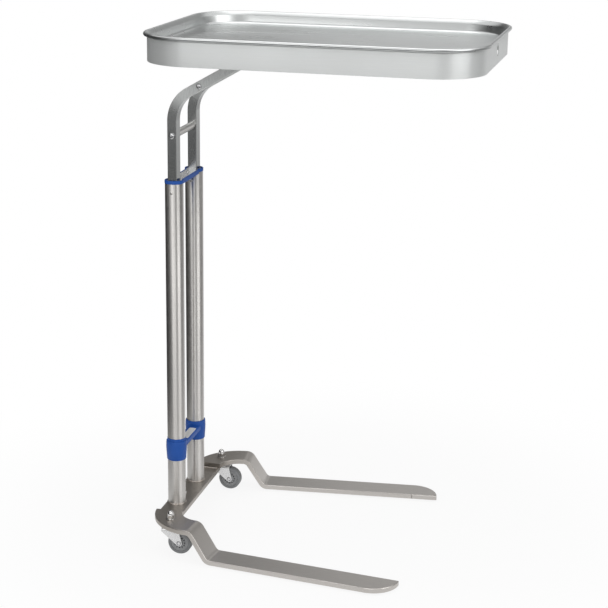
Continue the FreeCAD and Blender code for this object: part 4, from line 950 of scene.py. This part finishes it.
def make_yoke():
    """Foot release: two tapering sleeves and a web with rounded edges, bored for the posts."""
    foot, tall = YOKE_LOW.z, YOKE_HIGH.z - YOKE_LOW.z
    bore = TUBE_RADIUS + 0.3 * MM
    widest = YOKE_HIGH.x - POST_X
    wall = chain(
        [(bore - 3 * MM, 0), (bore + 0.2 * MM, 0)],
        arc((15.9 * MM, 1.2 * MM), 1.2 * MM, -90, -10, 5),
        [(17.7 * MM, 10 * MM), (18.25 * MM, 18 * MM), (widest, 25 * MM), (18.3 * MM, 31 * MM)],
        arc((16.6 * MM, tall - 1.4 * MM), 1.4 * MM, 8, 88, 7),
        [(bore + 0.2 * MM, tall), (bore - 3 * MM, tall)],
    )
    sleeves = [turned("sleeve", wall, at_post(s, foot), around=96, crease=40) for s in BOTH]
    low = (POST_X - 8 * MM, foot + 18.5 * MM)
    high = (POST_X + 14 * MM, foot + 28.2 * MM)
    outline = eased(rectangle(low, high), 2.2 * MM, 6)
    web = plate("web", outline, -POST_Y, POST_Y, plane="xz", edge=0.2 * MM)
    bores = post_cutters(bore, foot - 5 * MM, foot + tall + 5 * MM)
    return shaped(shaped(sleeves[0], "UNION", sleeves[1], web), "DIFFERENCE", *bores, crease=32)


def make_label():
    """Bare plate on the web: a rounded rectangle with a fine raised frame round a flat field."""
    low, size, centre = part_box("yoke_plate")[0], extent("yoke_plate"), middle("yoke_plate")
    section = np.array([(0.6, 0), (0, 0), (0, 0.55), (0.25, 0.8), (0.9, 0.8), (1.1, 0.62), (1.9, 0.62)])
    section = section * MM * (1, size.z / (0.8 * MM)) + (0, low.z)
    return ringed("label_plate", size.x / 2, size.y / 2, 2.6 * MM, section, crease=50, centre=centre[:2])


def dog_bone(radius, half_x):
    """Outline of two discs over the posts and their bridge: x = max(sqrt(R^2 - (|y| - Y)^2), half)."""
    y = -(POST_Y + radius) * np.cos(sweep(0, 180, 121))
    disc = np.sqrt(np.maximum(radius**2 - (np.abs(y) - POST_Y) ** 2, 0))
    x = np.where(np.abs(y) > POST_Y, disc, np.maximum(disc, half_x))
    return chain(grid(x, y), grid(-x, y)[-2:0:-1]) + (POST_X, 0)


def bar_openings(low, high):
    """Blocks as large as the clearance that each bar slides in."""
    half = np.array([BAR_HALF_X, BAR_HALF_Y]) + BAR_GAP
    outline = eased(rectangle(-half, half), 0.8 * MM, 3)
    return [plate("opening", outline + at_post(s)[:2], low, high, edge=SHARP) for s in BOTH]


def make_collar():
    """Collar on the tube tops: discs and bridge, with a recess for its plate and the bars' openings."""
    low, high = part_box("post_collar")
    top, radius, half = high.z, (high.x - low.x) / 2, 12.5 * MM
    foot = [(2 * MM, TUBE_TOP), (radius - 0.4 * MM, TUBE_TOP), (radius, TUBE_TOP + 0.4 * MM)]
    shoulder = arc((radius - 1 * MM, top - 1 * MM), 1 * MM, 0, 88, 6)
    profile = chain(foot, shoulder, [(2 * MM, top)])
    discs = [turned("disc", profile, at_post(s), around=96, crease=40) for s in BOTH]
    outline = eased(rectangle((POST_X - half, low.z), (POST_X + half, TUBE_TOP + 5 * MM)), 1.4 * MM, 4)
    bridge = plate("bridge", outline, -POST_Y, POST_Y, plane="xz", edge=0.2 * MM)
    hollow = dog_bone(radius - 2 * MM, half - 2 * MM)
    recess = plate("recess", hollow, TUBE_TOP + 2.8 * MM, top + 4 * MM, edge=0.3 * MM)
    openings = bar_openings(low.z - 5 * MM, top + 5 * MM)
    tubes = post_cutters(TUBE_RADIUS, low.z - 3 * MM, TUBE_TOP)
    both = shaped(discs[0], "UNION", discs[1], bridge)
    return shaped(both, "DIFFERENCE", recess, *openings, *tubes, crease=32)


def make_collar_plate():
    """Steel plate let into the collar, cut away round the bars."""
    low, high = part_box("collar_plate")
    cover = plate("cover", dog_bone((high.x - low.x) / 2, 10.5 * MM), low.z, high.z, edge=0.35 * MM)
    return shaped(cover, "DIFFERENCE", *bar_openings(low.z - 5 * MM, high.z + 5 * MM))


def make_collar_screws():
    """Low domed screws: r = R cos a, z = foot + h sin a, over a short shank."""
    low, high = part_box("collar_screws")
    rise = 1.2 * MM
    foot = high.z - rise
    shank = [(2.5 * MM, low.z), (2.5 * MM, foot), (3.5 * MM, foot)]
    profile = chain(shank, dome(3.5 * MM, foot, rise, 84, 9))
    screws = [turned("screw", profile, (POST_X, 22 * MM * side, 0), around=40) for side in BOTH]
    return join("cover_screws", *screws)


# Camera, lamps and surroundings

# In metres, then yaw, pitch and roll in radians, then the focal length in the photograph's pixels
CAMERA_PLACE = (0.61151, -2.64566, 1.21616)
CAMERA_TURN = (0.24210, 0.28250, 0.01364)
FOCAL_PIXELS = 1629.15
PHOTO_SIDE = 608
SENSOR = 36.0
FLOOR_HALF = 40.0


def add_camera():
    """The photograph's camera: it looks along +Y, turned, tipped and rolled a little."""
    cam = bpy.data.cameras.new("camera")
    cam.sensor_width = SENSOR
    cam.lens = FOCAL_PIXELS / PHOTO_SIDE * SENSOR
    holder = placed("camera", cam)
    yaw, pitch, roll = CAMERA_TURN
    turn = Matrix.Rotation(yaw, 4, "Z") @ Matrix.Rotation(math.pi / 2 - pitch, 4, "X")
    holder.matrix_world = Matrix.Translation(CAMERA_PLACE) @ turn @ Matrix.Rotation(roll, 4, "Z")
    scene.camera = holder


def lamp(name, azimuth, elevation, distance, size, radiance, aim=(0, 0, 0.45)):
    """A soft lamp that looks at the stand; its power is pi times its radiance and its area."""
    light = bpy.data.lights.new(name, "AREA")
    light.shape = "RECTANGLE"
    light.size, light.size_y = size
    light.energy = math.pi * radiance * size[0] * size[1]
    holder = placed(name, light)
    turn, lift = math.radians(azimuth), math.radians(elevation)
    away = Vector((math.sin(turn) * math.cos(lift), -math.cos(turn) * math.cos(lift), math.sin(lift)))
    holder.location = Vector(aim) + away * distance
    holder.rotation_euler = away.to_track_quat("Z", "Y").to_euler()


def board(name, start, end, strength, radius=4.2, low=0.0, high=2.6, near=None):
    """A curved board that only bright metal mirrors: (r sin a, -r cos a, z), a between two azimuths.

    It stands from low to high at one radius, or lies flat from near out to that radius.
    """
    a = sweep(start, end, 16)[:, None]
    r = np.array([near or radius, radius])
    z = np.array([low, low if near else high])
    points = grid(r * np.sin(a), -r * np.cos(a), z)
    sheet = skin(name, points, round_columns=False, ends=False)
    finish = Finish(name)
    finish.surface(finish.glow(strength))
    painted(sheet, finish.holder)
    for rays in ("camera", "diffuse", "shadow", "transmission"):
        setattr(sheet, "visible_" + rays, False)


def screen(name, start, end, wall, floor, height=2.6, near=0.75):
    """A board standing round the stand, and one on the floor inside it."""
    board(name + "_wall", start, end, wall, high=height)
    board(name + "_floor", start, end, floor, low=-0.1 * MM, near=near)


def shows_background(finish):
    """1 for rays that come from the camera or from a mirror, otherwise 0."""
    path = finish.tree.nodes.new("ShaderNodeLightPath")
    kinds = ("Is Camera Ray", "Is Glossy Ray", "Is Transmission Ray")
    camera, mirror, clear = (Wire(finish, path.outputs[kind]) for kind in kinds)
    return camera.math("MAXIMUM", camera.math("MAXIMUM", camera, mirror), clear)


def add_world(fill):
    """White where it is seen, and a soft fill elsewhere."""
    world = bpy.data.worlds.new("world")
    scene.world = world
    finish = Finish("world", world)
    back = finish.tree.nodes["Background"]
    finish.plug(back.inputs["Color"], WHITE)
    finish.plug(back.inputs["Strength"], shows_background(finish) * (1 - fill) + fill)


def add_floor(shadow_share, start, reach):
    """A pale floor, white to the eye, whose soft shadow fades out with distance from the stand."""
    x, y = np.meshgrid((-FLOOR_HALF, FLOOR_HALF), (-FLOOR_HALF, FLOOR_HALF))
    floor = skin("floor", grid(x, y, -0.2 * MM), round_columns=False, ends=False)
    finish = Finish("floor")
    finish.set(base_color=(0.9, 0.9, 0.9), roughness=1.0, specular=0.0)
    away = finish.node("ShaderNodeVectorMath", {"operation": "LENGTH"}, {0: finish.place()}, output="Value")
    share = finish.spread(away, shadow_share, 0.0, start, reach, "SMOOTHSTEP")
    lit = Wire(finish, finish.shader.outputs["BSDF"])
    shown_white = shows_background(finish) * (1 - share)
    finish.surface(finish.node("ShaderNodeMixShader", None, {0: shown_white, 1: lit, 2: finish.glow()}))
    painted(floor, finish.holder)


add_camera()
scene.view_settings.view_transform = "Standard"
add_world(fill=0.55)
add_floor(shadow_share=0.13, start=0.35, reach=0.9)
lamp("key", azimuth=-1, elevation=22, distance=3.2, size=(2.8, 2.4), radiance=1.8)
lamp("right", azimuth=68, elevation=22, distance=3.2, size=(2.2, 2.4), radiance=1.8)
lamp("overhead", azimuth=0, elevation=89, distance=2.6, size=(2.0, 2.0), radiance=1.2)
screen("front", -45, 24, wall=0.14, floor=0.13)
screen("gap", 24, 45, wall=0.34, floor=0.3)
screen("right", 45, 90, wall=0.4, floor=0.35)
screen("right_back", 90, 138, wall=0.28, floor=0.28)
screen("right_rear", 138, 176, wall=0.74, floor=0.5, height=1.3, near=1.5)
board("right_rear_high", 138, 176, low=1.3, high=4.5, strength=0.36)
screen("back", 176, 195, wall=0.6, floor=0.5, height=4.5, near=1.5)
screen("back_left", 195, 222, wall=0.16, floor=0.2, height=4.5)
screen("left", 222, 315, wall=0.05, floor=0.07, height=3.4)
board("high_left_card", -50, -12, radius=1.0, low=1.45, high=2.1, strength=0.4)
board("front_card", -12, 4, radius=1.0, low=1.12, high=2.1, strength=0.75)
board("front_right_card", 4, 34, radius=1.0, low=1.12, high=2.1, strength=0.5)
board("left_card", -55, -20, radius=0.95, low=0.73, high=0.87, strength=1.15)
board("middle_card", -20, -4, radius=0.95, low=0.73, high=0.87, strength=0.7)
board("back_patch", 195, 204, radius=4.1, low=1.52, high=1.75, strength=1.1)


# Finishes

STEEL = (0.60, 0.585, 0.565)
leg_steel = leg_brushed("leg_steel", (0.53, 0.505, 0.48))
bead_metal = bead_steel("weld_metal", (0.50, 0.475, 0.45))
post_steel = brushed("post_steel", STEEL, (260, 260, 5200), 0.38, upward=True)
bar_steel = bar_brushed("bar_steel", (0.525, 0.535, 0.53))
tray_steel = brushed("tray_steel", (0.60, 0.615, 0.612), (50, 700, 700), 0.3, depth=0.03, contrast=0.05)
band_steel = brushed(
    "band_steel", (0.69, 0.705, 0.70), (120, 120, 4200), 0.5, contrast=0.04, metallic=0.6, upward=True
)
strap_steel = brushed("strap_steel", (0.56, 0.545, 0.53), (2200, 120, 2200), 0.36)
rod_steel = brushed("rod_steel", STEEL, (2600, 200, 2600), 0.28)
chrome = polished("chrome", (0.62, 0.61, 0.60))
zinc = polished("zinc", (0.72, 0.72, 0.72), roughness=0.22, metallic=0.6)
bright_steel = polished("bright_steel", (0.70, 0.70, 0.71), roughness=0.16)
axle_steel = polished("axle_steel", (0.40, 0.40, 0.41), roughness=0.24)
bronze = polished("bronze", (0.50, 0.33, 0.16), roughness=0.3)
spring_wire = polished("spring_wire", (0.42, 0.42, 0.43), roughness=0.22)
blue = moulded("blue_plastic", (0.006, 0.066, 0.31), roughness=0.5)
white = moulded("white_plastic", (0.80, 0.80, 0.78))
nylon = moulded("nylon", (0.68, 0.67, 0.62))
label_silver = brushed("label_silver", (0.78, 0.78, 0.77), (1800, 100, 1800), 0.4, metallic=0.4)
wheel_grey = moulded("wheel_grey", (0.20, 0.205, 0.21), roughness=0.5)
hub_grey = moulded("hub_grey", (0.26, 0.265, 0.27), roughness=0.45)

# The frame's own pieces that keep their shape

KEPT = {
    "rear_strap": strap_steel,
    "middle_strap": strap_steel,
    "front_strap": strap_steel,
    "strap_screws": chrome,
    "yoke_studs": zinc,
}
KEPT_PAIRS = {
    "bar_guide": blue,
    "bar_slider": white,
    "leg_glides": nylon,
    "brake_shoe": bronze,
    "pull_rod": zinc,
    "spring_seat": zinc,
    "caster_stem": zinc,
    "swivel_balls": chrome,
}
for side_name in SIDES:
    KEPT.update({side_name + "_" + node: material for node, material in KEPT_PAIRS.items()})
for node, material in KEPT.items():
    painted(bpy.data.objects[node], material)


# Dressing

shown(make_tray(), "tray", "tray_steel", tray_steel, "instrument_tray")
shown(make_band(), "lift", "tray_steel", band_steel, "tray_band")
shown(make_crossbar(), "root", "base_steel", leg_steel, "base_crossbar")
shown(make_welds(), "root", "base_steel", bead_metal, "weld_beads")
shown(make_stud(), "root", "fastener_chrome", chrome, "centre_stud")
shown(make_guide_rivets(), "root", "fastener_chrome", rod_steel, "guide_rivets")
shown(make_cap_nuts(), "root", "fastener_chrome", chrome, "stem_cap_nuts")
shown(make_washers(), "root", "fastener_chrome", chrome, "stem_washers")
shown(make_collar(), "root", "blue_plastic", blue, "post_collar")
shown(make_collar_plate(), "root", "tray_steel", bright_steel, "collar_plate")
shown(make_collar_screws(), "root", "fastener_chrome", chrome, "collar_screws")
shown(make_yoke(), "release", "blue_plastic", blue, "foot_yoke")
shown(make_label(), "release", "white_plastic", label_silver, "yoke_plate")
shown(make_spacer_screws(), "lift", "fastener_chrome", bright_steel, "spacer_screws")
for rod_name in ROD_PLACES:
    shown(make_rod(rod_name), "lift", "post_steel", rod_steel, rod_name + "_spacer_rod")
for name, side in SIDES.items():
    shown(make_post(name, side), "root", "post_steel", post_steel, name + "_post")
    shown(make_bar(name, side), "lift", "post_steel", bar_steel, name + "_mast_bar")
    shown(make_leg(name, side), "root", "base_steel", leg_steel, name + "_leg")
    shown(make_fork(name, side), name + "_swivel", "zinc_steel", zinc, name + "_caster_fork")
    shown(make_axle(name, side), name + "_swivel", "fastener_chrome", axle_steel, name + "_caster_axle")
    shown(make_tyre(name, side), name + "_wheel", "wheel_grey", wheel_grey, name + "_caster_tyre")
    shown(make_hub(name, side), name + "_wheel", "hub_grey", hub_grey, name + "_caster_hub")
    spring = shown(make_spring(name), "release", "spring_steel", spring_wire, name + "_return_spring")
    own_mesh(spring)
